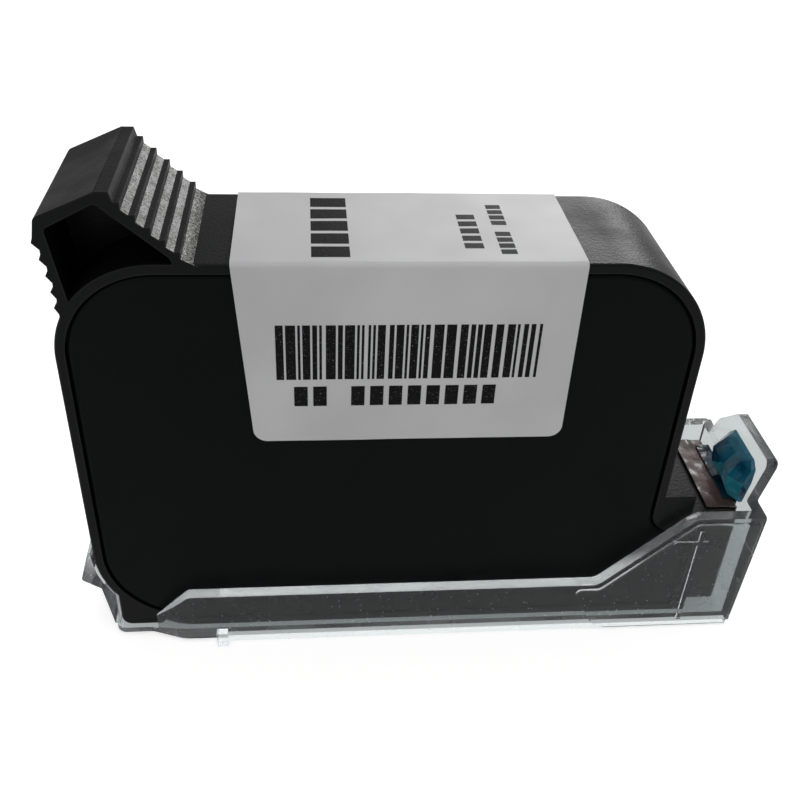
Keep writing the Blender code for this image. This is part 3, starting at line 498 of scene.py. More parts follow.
# a lighter copy of the tab's teal: painted reflection on the faces that turn away from the lip
tabPaintedLightLook = tealFilmLook("tealTabPaintedLight", (0.02, 0.25, 0.33), (0.06, 0.42, 0.5), 0.4)
tapeLook = tealFilmLook("tealTape", (0.002, 0.012, 0.03), (0.004, 0.05, 0.09), 0.35)
flexStripLook = flexLook("brownFlex")
stockLook = paperLook("labelStock", (0.70, 0.70, 0.705), (0.62, 0.62, 0.63))
blackInk = inkLook("blackPrint", (0.005, 0.005, 0.006))
steelLook = metalLook("springSteel", (0.62, 0.62, 0.64), (0.22, 0.4))
foilLook = metalLook("bagFoil", (0.75, 0.75, 0.73), (0.25, 0.5), (1.0, 1.0, 1.0), 300.0, 0.6)
goldLook = metalLook("goldPads", (0.83, 0.62, 0.27), (0.18, 0.36), (1.0, 1.0, 1.0), 3000.0)
ballLook = metalLook("polishedBall", (0.7, 0.7, 0.72), (0.06, 0.16), (1.0, 1.0, 1.0), 2500.0, 0.05)
screenLook = weaveLook("fineScreen")
plateLook = nozzleLook("nozzlePlate")
resinLook = grainedPlastic("blackResin", (0.02, 0.02, 0.02), (0.03, 0.03, 0.03), (0.04, 0.04, 0.04),
                           (0.15, 0.3), grain=0.1)
print("looks made")

carriedOver = {
    "inner_frame": innerLook, "front_film": foilLook, "back_film": foilLook, "front_pressure_plate": steelLook,
    "back_pressure_plate": steelLook, "filter_screen_front": screenLook, "filter_screen_back": screenLook,
    "printhead_die": plateLook, "encapsulant_bead_upper": resinLook, "encapsulant_bead_lower": resinLook,
    "contact_pads": goldLook, "fill_port_ball": ballLook,
}
for name, look in carriedOver.items():
    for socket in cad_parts[name].material_slots:
        socket.material = look

# Body: the frame, its grip and the two side panels

body = {"length": 76.0, "low": 2.0, "high": 58.0, "half": 9.5, "topLeft": 12.0, "topRight": 12.5,
        "bottomLeft": 13.0, "wall": 3.0, "rim": 1.2, "rimEdge": 0.35, "rebateFloor": 8.3, "panelThick": 1.0,
        "panelSeam": 0.15, "panelSink": 0.1, "panelEdge": 0.6}
snout = {"end": 87.2, "top": 19.25, "half": 7.8, "root": 82.4, "fillet": 1.0, "earEnd": 80.2,
         "earRise": 4.0, "earThick": 1.0, "recess": 0.7, "recessStart": 60.8, "faceMiddle": 10.975,
         "dieWide": 8.0, "dieTall": 14.2, "dieDeep": 0.65, "dieGap": 0.1, "inkDeep": 14.0, "inkHalf": 1.7,
         "inkRise": 4.5, "panelFillet": 2.0, "earRoot": 3.0, "earSink": 2.0, "padMargin": 0.4}
foot = {"start": 2.3, "end": 7.9, "slopeEnd": 10.9, "slopeRise": 4.0, "rise": 7.0}
grip = {"rise": 8.3, "flat": 1.45, "shoulder": 7.0, "drop": 2.9, "steps": 5, "pitch": 1.42, "tread": 0.67,
        "riser": 0.85, "lipRun": 0.3, "lipDrop": 1.13, "toe": 0.55, "ribs": 5, "ribPitch": 1.95,
        "ribDepth": 0.75, "ribEase": 0.08, "ribStart": 2.85, "ribX": -0.16, "lean": 1.12, "web": 1.2,
        "wall": 1.3, "slopeWall": 1.75, "sink": 0.4, "thumbTop": 0.45, "underRise": 3.0, "underStart": 2.0,
        "ribUpper": 0.42, "ribLower": 0.67, "slopeMost": 0.8, "slopeLeast": 0.35}


def bodyOutline(distance=0.0):
    low, high = body["low"], body["high"]
    return cornersInset([(0.0, low, body["bottomLeft"]), (snout["end"], low, snout["fillet"]),
                         (snout["end"], snout["top"], snout["fillet"]),
                         (body["length"], snout["top"], snout["fillet"]),
                         (body["length"], high, body["topRight"]), (0.0, high, body["topLeft"])], distance)


def panelOutline(distance):
    low, high, step, fillet = body["low"], body["high"], snout["top"] - snout["earThick"], snout["panelFillet"]
    return cornersInset([(0.0, low, body["bottomLeft"]), (snout["root"], low, fillet),
                         (snout["root"], step, fillet), (body["length"], step, fillet),
                         (body["length"], high, body["topRight"]), (0.0, high, body["topLeft"])], distance)


def hollowOutline(distance):
    low, high = body["low"], body["high"]
    return cornersInset([(0.0, low, body["bottomLeft"]), (body["length"], low, body["bottomLeft"]),
                         (body["length"], high, body["topRight"]), (0.0, high, body["topLeft"])], distance)


def stepStart():
    return grip["shoulder"] + grip["flat"] + grip["lipRun"]


def gripOutline():
    high = body["high"]
    x, z = stepStart(), high + grip["rise"] - grip["lipDrop"]
    slope = []
    for _ in range(grip["steps"]):
        slope += [(x, z, 0), (x + grip["tread"], z, 0), (x + grip["tread"], z - grip["riser"], 0)]
        x, z = x + grip["pitch"], z - grip["pitch"]
    slope.append((x + grip["tread"] + grip["toe"], high - grip["sink"], 0))
    under = high - body["topLeft"] + grip["underRise"]
    top = high + grip["rise"]
    outline = [(body["topLeft"], under, 0), *slope[::-1], (grip["shoulder"] + grip["flat"], top, 0),
               (grip["shoulder"], top, 0.4), (grip["thumbTop"], top - grip["drop"], 0.8)]
    for i in range(grip["ribs"]):  # the scalloped thumb face
        share = i / (grip["ribs"] - 1)
        x = grip["ribX"] + grip["lean"] * (1 - (1 - share) ** 2)
        z = top - grip["drop"] - grip["ribStart"] - i * grip["ribPitch"]
        deep = x + grip["ribDepth"] - i * grip["ribEase"]
        if not i:
            outline.append((x + 0.2, z + 0.3 * grip["ribPitch"], 0))
        outline += [(x, z, 0), (deep, z - grip["ribUpper"] * grip["ribPitch"], 0),
                    (deep, z - grip["ribLower"] * grip["ribPitch"], 0)]
    outline.append((grip["underStart"], under, 0))
    return outline


def gripPocket(side):
    high = body["high"]
    right = stepStart() + grip["steps"] * grip["pitch"] - grip["slopeWall"]
    deep = high - body["topLeft"] / 2
    corners = [(grip["wall"] + 1.5, deep, 0.6), (right, deep, 0.6), (right, high + 0.6, 1.0),
               (grip["shoulder"] - 0.2, high + grip["rise"] - grip["wall"], 0.5),
               (grip["wall"], high + grip["rise"] - grip["drop"] - grip["wall"], 0.6)]
    hollow = slab("pocket", corners, *span(side, grip["web"], body["half"] + 1))
    return cutAway(hollow, slab("floor", bodyOutline(), *span(side, -1.0, body["half"] + 2), segments=24))


def makeShell():
    half, low = body["half"], body["low"]
    shell = slab("frameShell", bodyOutline(), -half, half, (body["rimEdge"],) * 2, 24)
    heel = [(foot["start"], low, 1.4), (foot["end"], low, 1.8), (foot["slopeEnd"], low + foot["slopeRise"], 0),
            (foot["start"], low + foot["rise"], 0)]
    earStart, earEnd = body["length"] - snout["earRoot"], snout["earEnd"]
    earLow, earTop = snout["top"] - snout["earSink"], snout["top"] + snout["earRise"]
    ear = [(earStart, earLow, 0), (earEnd, earLow, 0), (earEnd, earTop, 0.3), (earStart, earTop, 0)]
    added(shell, slab("gripBlock", gripOutline(), -half, half), slab("foot", heel, -half, half, (0.3, 0.3)),
          *[slab("ear", ear, *span(side, half - snout["earThick"], half)) for side in (-1, 1)])
    seat = panelOutline(body["rim"])
    rebates = [slab("rebate", seat, *span(side, body["rebateFloor"], half + 1), segments=24)
               for side in (-1, 1)]
    cutAway(shell, *rebates, slab("hollow", hollowOutline(body["wall"]), -half - 1, half + 1, segments=16),
            *[gripPocket(side) for side in (-1, 1)])
    for side in (-1, 1):
        y0, y1 = span(side, snout["half"], half + 1)
        cutAway(shell, block("tipSide", (snout["root"], y0, low - 1), (snout["end"] + 1, y1, snout["top"] + 1)))
    reach, middle, past = snout["half"] + snout["padMargin"], snout["faceMiddle"], snout["end"] + 1
    dieHalf, dieRise = snout["dieWide"] / 2 + snout["dieGap"], snout["dieTall"] / 2 + snout["dieGap"]
    cutAway(shell, block("contactRecess", (snout["recessStart"], -reach, low - 1),
                         (past, reach, low + snout["recess"])),
            block("inkSlot", (snout["end"] - snout["inkDeep"], -snout["inkHalf"], middle - snout["inkRise"]),
                  (past, snout["inkHalf"], middle + snout["inkRise"])),
            block("diePocket", (snout["end"] - snout["dieDeep"], -dieHalf, middle - dieRise),
                  (past, dieHalf, middle + dieRise)))
    softenEdges(shell, 0.11)
    finished(shell, (shellLook, slopeSheenLook), "cartridge", "frame_black", "outer_frame")
    first = leftEdge + stepStart() * mm
    last, lowest = first + (grip["steps"] + 1) * grip["pitch"] * mm, (body["high"] - 0.3) * mm
    for face in shell.data.polygons:  # the slopes of the steps carry the coarse grain and its painted sheen
        sloped = grip["slopeLeast"] < face.normal.x < grip["slopeMost"] and face.normal.z > 0.5
        if sloped and face.center.z > lowest and first < face.center.x < last:
            face.material_index = 1


def makePanel(side, name, nodeName):
    outer, edge = body["half"] - body["panelSink"], body["panelEdge"]
    low, high = span(side, outer - body["panelThick"], outer)
    edges = (edge, 0.0) if side < 0 else (0.0, edge)
    panel = slab(name, panelOutline(body["rim"] + body["panelSeam"]), low, high, edges, 24)
    smoothed(panel, 50)
    finished(panel, panelLook, "cartridge", "cover_black", nodeName)


spring = {"thick": 0.5, "around": 96, "kept": 0.28}


def makeSpring():  # two bowed leaves that flatten as the plates come together
    low, high = (Vector(corner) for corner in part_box("bow_spring"))
    middle, reach = (low + high) / 2, (high - low) / 2
    mesh = bmesh.new()
    turns = [2 * math.pi * i / spring["around"] for i in range(spring["around"])]
    thick = spring["thick"] * mm
    loops = []
    for z, shrink in ((low.z, 0.0), (high.z, 0.0), (high.z, thick), (low.z, thick)):
        along, across = reach.x - shrink, reach.y - shrink
        loops.append([mesh.verts.new((middle.x + along * math.cos(a), middle.y + across * math.sin(a), z))
                      for a in turns])
    for k, loop in enumerate(loops):
        following = loops[(k + 1) % 4]
        for i in range(len(loop)):
            j = (i + 1) % len(loop)
            mesh.faces.new((loop[i], loop[j], following[j], following[i]))
    bmesh.ops.recalc_face_normals(mesh, faces=mesh.faces)
    piece = newPiece("bowSpring", mesh)
    smoothed(piece, 40)
    finished(piece, steelLook, "cartridge", "spring_steel", "bow_spring")
    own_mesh(piece)


makeSpring()
makeShell()
makePanel(-1, "frontPanel", "front_cover")
makePanel(1, "backPanel", "back_cover")
print("body made")

# Label, folded over the top edge, with plain bars for its print

label = {"start": 20.2, "end": 59.9, "drop": 24.0, "skew": 1.7, "corner": 1.6, "fold": 0.45, "lift": 0.1,
         "thick": 0.13, "ripple": 0.045, "across": 60, "down": 44}


def paperPath():  # where the paper lies: half its width on top, and its height
    return body["half"] + label["lift"], body["high"] + label["lift"]


def paperPoint(x, along, raised=0.0):
    # along: 0 at the middle of the top, negative towards the front, to the lower end of the drop
    reach, top = paperPath()
    side = -1 if along < 0 else 1
    run, r = abs(along), label["fold"]
    flat, arc = reach - r, label["fold"] * math.pi / 2
    if run < flat:
        y, z, ny, nz = run, top, 0.0, 1.0
    elif run < flat + arc:
        a = (run - flat) / r
        y, z, ny, nz = flat + r * math.sin(a), top - r + r * math.cos(a), math.sin(a), math.cos(a)
    else:
        y, z, ny, nz = reach, top - r - (run - flat - arc), 1.0, 0.0
    slow, quick = Vector((x * 0.11, along * 0.13, 3.0)), Vector((x * 0.3, along * 0.26, 8.0))
    wave = noise.noise(slow) + 0.5 * noise.noise(quick)
    push = raised + label["ripple"] * (wave + 0.6)
    return at(x, side * (y + ny * push), z + nz * push)


def paperReach():
    reach, _ = paperPath()
    return reach - label["fold"] + label["fold"] * math.pi / 2 + label["drop"] - label["fold"]


def makeLabel():
    total = paperReach()
    rows = []
    corner = label["corner"]
    # rows that round the corners
    near = [total - corner * (1 - math.cos(math.pi / 2 * k / 8)) for k in range(9)]
    flat = [i * (total - corner) / label["down"] for i in range(label["down"] + 1)]
    foldStart = body["half"] - label["fold"]
    fine = [foldStart + label["fold"] * math.pi / 2 * k / 6 for k in range(7)]
    half = sorted(set(round(v, 4) for v in flat + fine + near))
    for along in [-v for v in reversed(half) if v] + half:
        down = max(abs(along) - (total - label["drop"]), 0.0)
        left = label["start"] + label["skew"] * down / label["drop"]
        depth = corner - (total - abs(along))
        cutIn = corner - math.sqrt(max(corner ** 2 - depth ** 2, 0.0)) if depth > 0 else 0.0
        x0, x1 = left + cutIn, label["end"] - cutIn
        rows.append([(x0 + (x1 - x0) * i / label["across"], along) for i in range(label["across"] + 1)])
    mesh = bmesh.new()
    grid = [[mesh.verts.new(paperPoint(*cell)) for cell in row] for row in rows]
    for upper, lower in zip(grid, grid[1:]):
        for i in range(len(upper) - 1):
            mesh.faces.new((upper[i], lower[i], lower[i + 1], upper[i + 1]))
    bmesh.ops.recalc_face_normals(mesh, faces=mesh.faces)
    piece = newPiece("labelPaper", mesh)
    middle = min(piece.data.polygons, key=lambda face: abs(face.center.y))
    if middle.normal.z < 0:
        piece.data.flip_normals()
    thick = piece.modifiers.new("thickness", "SOLIDIFY")
    thick.thickness = label["thick"] * mm
    thick.offset = 1.0
    bakeModifiers(piece)
    smoothed(piece, 60)
    finished(piece, stockLook, "cartridge", "paper", "label")


def printPatch(mesh, x0, x1, along0, along1, raised=0.02):
    steps = max(1, int(abs(along1 - along0) / 0.8))
    cells = max(1, int(abs(x1 - x0) / 0.8))
    lift = label["thick"] + raised
    wide, long = x1 - x0, along1 - along0
    rows = [[mesh.verts.new(paperPoint(x0 + wide * i / cells, along0 + long * j / steps, lift))
             for i in range(cells + 1)] for j in range(steps + 1)]
    for upper, lower in zip(rows, rows[1:]):
        for i in range(cells):
            mesh.faces.new((upper[i], upper[i + 1], lower[i + 1], lower[i]))


printed = {
    "seed": 7, "start": 24.8, "end": 55.4, "limit": 55.6, "upper": 7.6, "lower": 15.0,
    "wide": (0.3, 0.55, 0.9, 1.15), "gaps": (0.24, 0.24, 0.3, 0.45),
    "dashes": 11, "dashGap": 2, "dashStart": 26.8, "dashEnd": 28.4, "dashPitch": 2.25,
    "dashUpper": 16.0, "dashLower": 18.8,
    "blocks": [(29.0, 33.3, -8.2, 2.6, 3.3, 5, None), (46.4, 48.6, -6.0, 1.3, 1.9, 5, None),
               (50.4, 52.2, -7.4, 1.1, 1.5, 9, 4)],  # start, end, first, length, pitch, count, the one left out
    "rules": 3, "ruleStart": 26.0, "ruleEnd": 54.0, "ruleDrop": 5.0, "ruleThick": 0.6, "rulePitch": 3.0,
}


def makePrint():
    chance = random.Random(printed["seed"])
    foldEnd = paperReach() - label["drop"]
    mesh = bmesh.new()
    x = printed["start"]
    while x < printed["end"]:  # stripes of unequal width on the front
        wide = chance.choice(printed["wide"])
        printPatch(mesh, x, min(x + wide, printed["limit"]), -(foldEnd + printed["upper"]),
                   -(foldEnd + printed["lower"]))
        x += wide + chance.choice(printed["gaps"])
    for i in range(printed["dashes"]):  # a row of plain dashes under them
        if i != printed["dashGap"]:
            shift = i * printed["dashPitch"]
            printPatch(mesh, printed["dashStart"] + shift, printed["dashEnd"] + shift,
                       -(foldEnd + printed["dashUpper"]), -(foldEnd + printed["dashLower"]))
    for start, end, first, length, pitch, count, left in printed["blocks"]:  # rows of blocks across the top
        for i in range(count):
            if i != left:
                printPatch(mesh, start, end, first + i * pitch, first + i * pitch + length)
    for i in range(1, printed["rules"] + 1):  # plain rules on the back
        upper = foldEnd + printed["ruleDrop"] + i * printed["rulePitch"]
        printPatch(mesh, printed["ruleStart"], printed["ruleEnd"], upper, upper + printed["ruleThick"])
    bmesh.ops.recalc_face_normals(mesh, faces=mesh.faces)
    piece = newPiece("labelPrint", mesh)
    finished(piece, blackInk, "cartridge", "paper")


makeLabel()
makePrint()
print("label made")

# Printhead end: the copper film over the snout and the teal seal with its pull tab

cap = {"half": 11.4, "wall": 1.6, "inside": 88.4, "end": 90.0, "draft": 0.7, "floorLow": 0.8,
       "floorTop": 1.7, "lowWall": 8.85, "highWall": 20.7, "lowStart": 11.8, "slopeStart": 68.4,
       "tongue": 1.3, "wallStart": 6.4, "cheek": 4.5, "railStart": 15.4, "nub": 1.0, "nubTop": 2.6,
       "nubLong": 1.5, "pad": 0.4, "padStart": 65.0, "rib": 0.3, "ribWide": 0.6, "ribShift": 1.2,
       "ribDrop": 2.3, "tabRise": 6.7, "tabFlare": 1.4, "tabFront": 7.8, "tabBack": 3.4, "tabCorner": 7.0,
       "tabShoulder": 3.2}
film = {"thick": 0.2, "half": 7.5, "under": 26.0, "tail": 4.4, "top": 19.35, "low": 2.6, "face": 87.5,
        "waves": 0.1, "bend": 0.3, "window": 0.2, "across": 40, "up": 24, "back": 10}
# each level of the leaf is its height, front, back and thickness
seal = {"thick": 0.15, "half": 6.0, "overlap": 2.1, "face": 88.1, "low": 3.7, "tabLow": 19.65, "crumple": 0.16,
        # the light turn and top limits pick the tab faces that get a painted reflection
        "seed": 5, "edge": 0.05, "paintedLightTurn": -0.45, "paintedLightTop": 22.8,
        "leaf": [(19.9, -7.1, -0.4, 1.3), (21.4, -7.2, 1.9, 2.3), (23.3, -7.1, 2.9, 2.6),
                 (25.1, -6.5, 2.3, 1.5), (25.8, -5.2, 1.8, 0.6)]}


def filmPath():  # the film's outer side in x and z: underneath, up the face, and back over the top
    end, bend, low = film["face"], film["bend"], film["low"]
    under, rise = low - film["thick"], film["top"] + film["thick"]
    turns = (0.0, 0.5, 1.0, math.pi / 2)
    path = [(end - film["under"], under)]
    path += [(end - bend + bend * math.sin(a), under + bend - bend * math.cos(a)) for a in turns]
    path += [(end, low + (rise - low) * k / film["up"]) for k in range(1, film["up"])]
    path += [(end - bend + bend * math.cos(a), rise - bend + bend * math.sin(a)) for a in turns]
    tail = film["tail"] - bend
    return path + [(end - bend - tail * k / film["back"], rise) for k in range(1, film["back"] + 1)]


def makeFlex():
    half, columns, path = film["half"], film["across"], filmPath()
    held = seal["face"] - seal["overlap"] - 0.2  # the tape holds the film down from here on
    mesh = bmesh.new()
    grid = []
    for x, z in path:
        row = []
        for i in range(columns + 1):
            y = -half + 2 * half * i / columns
            lift = 0.0
            if z > film["top"] + 0.1 and x < held:  # slack where nothing holds it down
                fade = min(1.0, (held - x) / 0.6)
                lift = fade * film["waves"] * (1.0 + noise.noise(Vector((x * 0.9, y * 0.45, 1.0))) * 1.6)
            row.append(mesh.verts.new(at(x, y, z + lift)))
        grid.append(row)
    windowHalf, windowRise = snout["dieWide"] / 2 + film["window"], snout["dieTall"] / 2 + film["window"]
    for j in range(len(path) - 1):
        z = (path[j][1] + path[j + 1][1]) / 2
        onFace = path[j][0] > film["face"] - 0.01 and abs(z - snout["faceMiddle"]) < windowRise
        for i in range(columns):
            y = -half + 2 * half * (i + 0.5) / columns
            if not (onFace and abs(y) < windowHalf):  # the die shows through the window
                mesh.faces.new((grid[j][i], grid[j][i + 1], grid[j + 1][i + 1], grid[j + 1][i]))
    bmesh.ops.delete(mesh, geom=[v for v in mesh.verts if not v.link_faces], context="VERTS")
    bmesh.ops.recalc_face_normals(mesh, faces=mesh.faces)
    piece = newPiece("flexStrip", mesh)
    lowest = min(piece.data.polygons, key=lambda face: face.center.z)
    if lowest.normal.z > 0:
        piece.data.flip_normals()
    thick = piece.modifiers.new("thickness", "SOLIDIFY")
    thick.thickness = film["thick"] * mm
    thick.offset = -1.0
    bakeModifiers(piece)
    smoothed(piece, 50)
    finished(piece, flexStripLook, "cartridge", "flex", "flex_circuit")


def makeSeal():
    low, face, top = seal["low"], seal["face"], seal["tabLow"]
    inner, back, rise = face - seal["thick"], face - seal["overlap"], top + seal["thick"]
    strip = [(inner, low, 0), (face, low, 0), (face, rise, 0.1), (back, rise, 0.05), (back, top, 0),
             (inner, top, 0)]
    tape = slab("sealTape", strip, -seal["half"], seal["half"], (0.04, 0.04), 3)
    smoothed(tape, 40)
    finished(tape, tapeLook, "nozzle_tape", "tape_teal", "nozzle_tape")
    makeTab()


def makeTab():
    # a loop of film pinched into a thick faceted leaf that leans on the cap's lip
    chance = random.Random(seal["seed"])
    lean = cap["tabFlare"] / cap["tabRise"]
    mesh = bmesh.new()
    rings = []
    for z, front, back, thick in seal["leaf"]:
        outer = seal["face"] + 0.1 + lean * max(z - cap["highWall"], 0.0)
        middle = (front + back) / 2
        ring = [(outer, front), (outer, middle), (outer, back), (outer - 0.4 * thick, back - 0.2),
                (outer - thick, back - 1.6), (outer - 0.9 * thick, middle - 0.4),
                (outer - thick, front + 1.7), (outer - 0.45 * thick, front - 0.1)]
        for i, (x, y) in enumerate(ring):
            if i > 2:  # the free side is creased, and the side on the lip stays flat
                x += chance.uniform(-1, 1) * seal["crumple"]
                y += chance.uniform(-1, 1) * seal["crumple"]
            ring[i] = mesh.verts.new(at(x, y, z))
        rings.append(ring)
    for lower, upper in zip(rings, rings[1:]):
        for i in range(len(lower)):
            k = (i + 1) % len(lower)
            mesh.faces.new((lower[i], lower[k], upper[k], upper[i]))
    mesh.faces.new(rings[0][::-1])
    mesh.faces.new(rings[-1])
    bmesh.ops.triangulate(mesh, faces=mesh.faces)
    bmesh.ops.recalc_face_normals(mesh, faces=mesh.faces)
    piece = newPiece("pullTab", mesh)
    edges = piece.modifiers.new("edges", "BEVEL")
    edges.width = seal["edge"] * mm
    edges.segments = 2
    bakeModifiers(piece)
    finished(piece, (tabLook, tabPaintedLightLook), "nozzle_tape", "tape_teal")
    # the leaf's lower free side is one layer of film; its faces that turn away from the lip get a lighter copy
    # of the teal, a painted reflection
    for face in piece.data.polygons:
        face.material_index = int(face.normal.x < seal["paintedLightTurn"] and face.center.z < seal["paintedLightTop"] * mm)


makeFlex()
makeSeal()
print("printhead end made")

# Clear clip-on cap

arm = {"gap": 0.35, "rootThick": 0.75, "wide": 18.4, "top": 15.6, "reach": 2.2, "tip": 10.6, "root": 2.0,
       "rings": 16}


def capSide(side):  # low along the body, then up a slope; the cap's outline trims it afterwards
    low, high, start = cap["lowWall"], cap["highWall"], cap["wallStart"] + cap["wall"] / 2
    corners = [(start, cap["floorLow"], 0), (cap["end"] - cap["draft"], cap["floorLow"], 0),
               (cap["end"], high, 0.8), (cap["slopeStart"] + high - low, high, 2.0),
               (cap["slopeStart"], low, 2.0), (cap["lowStart"], low, 1.0),
               (start, low - cap["lowStart"] + start, 0)]
    return slab("capSide", corners, *span(side, cap["half"] - cap["wall"], cap["half"] + 1))


def capTrim(side):  # the thicker area round the nozzle end, two ribs on it, the rail underneath and its nub
    low, high, endLow = cap["lowWall"], cap["highWall"], cap["end"] - cap["draft"]
    rise = high - low
    swell = [(cap["padStart"] + 4, cap["floorLow"] - 0.4, 3.5), (endLow - 0.5, cap["floorLow"] - 0.4, 0),
             (cap["end"] - 0.5, high - 0.7, 0.6), (cap["slopeStart"] + rise + 0.3, high - 0.7, 1.6),
             (cap["slopeStart"] + 0.4, low - 0.7, 1.6), (cap["padStart"], low - 0.7, 0.8)]
    outer = cap["half"] + cap["pad"]
    edges = (0.25, 0.0) if side < 0 else (0.0, 0.25)
    pad = slab("pad", swell, *span(side, cap["half"] - 0.5, outer), edges)
    y0, y1 = span(side, outer - 0.3, outer + cap["rib"])
    ribX, half = snout["root"] - cap["ribShift"], cap["ribWide"] / 2
    upright = block("upright", (ribX - half, y0, cap["floorTop"] + 0.4), (ribX + half, y1, high - 1.6))
    level = snout["top"] - cap["ribDrop"]
    ledge = block("ledge", (cap["slopeStart"] + level - low + 1.2, y0, level - half),
                  (ribX + cap["ribShift"], y1, level + half))
    y0, y1 = span(side, cap["half"] - cap["wall"], cap["half"])
    rail = block("rail", (cap["railStart"], y0, 0.0), (endLow - 0.4, y1, cap["floorLow"] + 0.3))
    y0, y1 = span(side, cap["half"] - cap["wall"], cap["half"] + cap["nub"])
    nub = block("nub", (cap["railStart"], y0, 0.0), (cap["railStart"] + cap["nubLong"], y1, cap["nubTop"]))
    return added(pad, upright, ledge, rail, nub)


def capPlan(end):
    tongue, half, cheek = cap["half"] - cap["wall"], cap["half"], cap["wallStart"] + cap["cheek"]
    return [(cap["tongue"], -tongue, 1.5), (cap["wallStart"], -tongue, 3.0), (cheek, -half, 6.0),
            (end, -half, 0), (end, half, 0), (cheek, half, 6.0), (cap["wallStart"], tongue, 3.0),
            (cap["tongue"], tongue, 1.5)]


def makeCap():
    half, high = cap["half"], cap["highWall"]
    endLow, top, flare = cap["end"] - cap["draft"], high + cap["tabRise"], cap["tabFlare"]
    piece = block("clearCap", (0.0, -half - 1, cap["floorLow"]), (endLow, half + 1, cap["floorTop"]))
    added(piece, *[capSide(side) for side in (-1, 1)])
    kept(piece, plate("capOutline", capPlan(cap["end"] + 1), cap["floorLow"] - 1, top))
    lip = [(cap["inside"], cap["floorLow"], 0), (endLow, cap["floorLow"], 0), (cap["end"], high, 0),
           (cap["end"] + flare, top, 0.3), (cap["inside"] + flare, top, 0.3), (cap["inside"], high, 0)]
    end = slab("endWall", lip, -half, half)
    face = [(-half, cap["floorLow"], 0), (half, cap["floorLow"], 0), (half, high, 0.5),
            (cap["tabCorner"] + 0.6, high, 0.4), (cap["tabCorner"], high + cap["tabShoulder"], 1.5),
            (cap["tabBack"], top, 1.5), (-cap["tabFront"], top, 1.2),
            (-cap["tabFront"], high, 0.4), (-half, high, 0.5)]
    kept(end, bar("endOutline", face, cap["inside"] - 3, cap["end"] + 5))
    added(piece, end, *[capTrim(side) for side in (-1, 1)])
    softenEdges(piece, 0.16, 3)
    finished(piece, capLook, "protective_cap", "clear", "protective_cap")


def makeArm():
    radius, gap = body["bottomLeft"], arm["gap"]
    reach, innerX = radius + gap, foot["start"] - gap
    footAngle = math.acos((radius - innerX) / reach)
    middleZ = body["low"] + radius
    inner = []
    for i in range(arm["rings"] + 1):
        a = footAngle * (arm["rings"] - i) / arm["rings"]
        inner.append((radius - reach * math.cos(a), middleZ - reach * math.sin(a), 0))
    outline = [(-gap - 0.4, arm["top"], 0), (-arm["reach"], arm["tip"], 0.5),
               (innerX - arm["rootThick"] - 1.0, arm["tip"] - 1.7, 0),
               (innerX - arm["rootThick"], arm["root"], 0),
               (innerX, arm["root"], 0), *inner, (-gap, arm["top"], 0)]
    piece = slab("latchArm", outline, -arm["wide"] / 2, arm["wide"] / 2)
    softenEdges(piece, 0.1, 2)
    finished(piece, capLook, "cap_latch", "clear", "cap_latch_arm")


makeCap()
makeArm()
print("cap made")

# Camera, floor and light

view = {"lens": 43.68, "place": (-0.01595, -0.10433, 0.10736), "down": 35.29, "aside": 6.5, "roll": 2.98}


def makeCamera():
    camera = bpy.data.cameras.new("camera")
    camera.lens = view["lens"]
    camera.sensor_width = 36.0
    camera.clip_start = 0.005
    seen = bpy.data.objects.new("camera", camera)
    down, aside, roll = (math.radians(view[key]) for key in ("down", "aside", "roll"))
    ahead = Vector((math.sin(aside) * math.cos(down), math.cos(aside) * math.cos(down), -math.sin(down)))
    right = Vector((math.cos(aside), -math.sin(aside), 0.0))
    up = right.cross(ahead)
    camRight = right * math.cos(roll) + up * math.sin(roll)
    camUp = up * math.cos(roll) - right * math.sin(roll)
    turn = Matrix((camRight, camUp, -ahead)).transposed()
    seen.matrix_world = Matrix.Translation(view["place"]) @ turn.to_4x4()
    bpy.context.scene.collection.objects.link(seen)
    bpy.context.scene.camera = seen


studio = {
    "floor": (0.9, 0.9, 0.895), "floorGlow": 0.62, "room": 0.3, "echo": 0.4,
    "reach": 3.0, "cells": 12, "aim": (0.0, 0.0, 0.03),
    "lamps": [
        ("backWindow", (0.16, 0.42, 0.20), 0.24, 0.20, 0.7),
        ("overhead", (-0.05, -0.05, 0.55), 0.5, 0.4, 0.8),
        ("frontFill", (-0.35, -0.5, 0.35), 0.4, 0.4, 0.5),
    ],
}


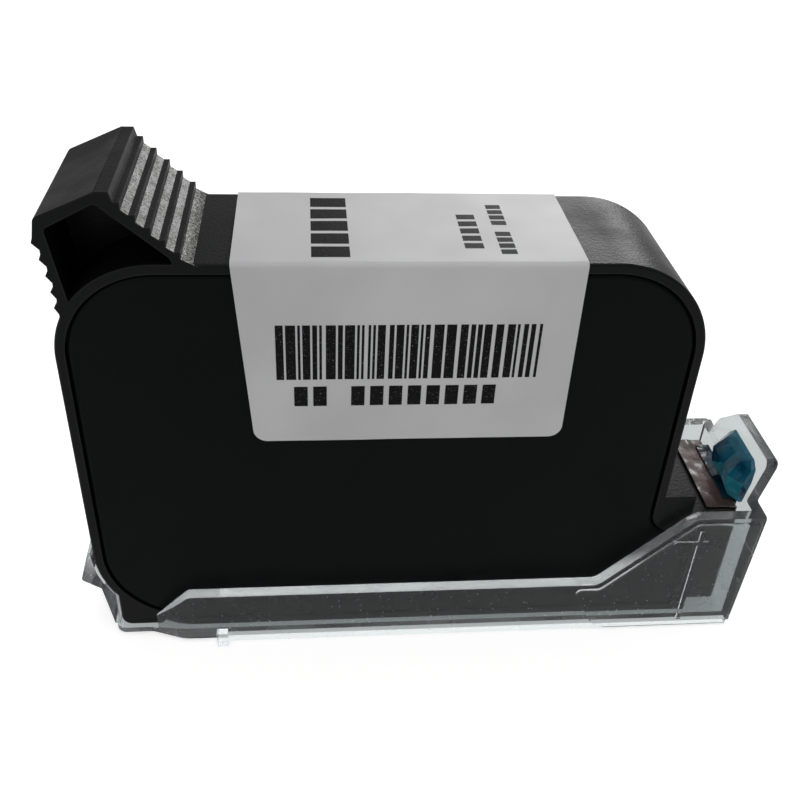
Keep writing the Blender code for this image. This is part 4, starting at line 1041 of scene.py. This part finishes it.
def seenStrength(tree, lighting):  # full for what is seen directly or through the cap, weak in reflections
    path = node(tree, "LightPath")
    seen = math2(tree, "MAXIMUM", path.outputs["Is Camera Ray"], path.outputs["Is Transmission Ray"])
    mirrored = math2(tree, "MULTIPLY", path.outputs["Is Glossy Ray"], studio["echo"])
    return math2(tree, "MAXIMUM", math2(tree, "MAXIMUM", seen, mirrored), lighting)


def makeFloor():
    mesh = bmesh.new()
    cells = studio["cells"]
    lines = [studio["reach"] * (2 * i / cells - 1) for i in range(cells + 1)]
    grid = [[mesh.verts.new((x, y, 0.0)) for x in lines] for y in lines]
    for j in range(cells):
        for i in range(cells):
            mesh.faces.new((grid[j][i], grid[j][i + 1], grid[j + 1][i + 1], grid[j + 1][i]))
    floor = newPiece("floor", mesh)
    look, tree, shader = newLook("paleFloor", Roughness=0.9, Specular_IOR_Level=0.1)
    cloud = noiseAt(tree, 3.0, 2.0)
    pale = studio["floor"]
    colored(tree, shader, mixed(tree, cloud, pale, tuple(part * 0.985 for part in pale)))
    shader.inputs["Emission Color"].default_value = (1.0, 1.0, 0.995, 1.0)
    glow = math2(tree, "MULTIPLY", seenStrength(tree, 0.0), studio["floorGlow"])
    tree.links.new(glow, shader.inputs["Emission Strength"])
    floor.data.materials.append(look)


def makeRoom():
    world = bpy.data.worlds.new("room")
    bpy.context.scene.world = world
    world.use_nodes = True
    tree = world.node_tree
    back = tree.nodes["Background"]
    tree.links.new(seenStrength(tree, studio["room"]), back.inputs["Strength"])
    back.inputs["Color"].default_value = (1.0, 1.0, 1.0, 1.0)
    bpy.context.scene.view_settings.view_transform = "Standard"


def makeLamps():
    for name, place, wide, tall, power in studio["lamps"]:
        lamp = bpy.data.lights.new(name, "AREA")
        lamp.shape = "RECTANGLE"
        lamp.size, lamp.size_y = wide, tall
        lamp.energy = power
        holder = bpy.data.objects.new(name, lamp)
        holder.location = place
        aim = Vector(studio["aim"]) - Vector(place)
        holder.rotation_euler = aim.to_track_quat("-Z", "Y").to_euler()
        bpy.context.scene.collection.objects.link(holder)


makeCamera()
makeFloor()
makeRoom()
makeLamps()
print("studio made")
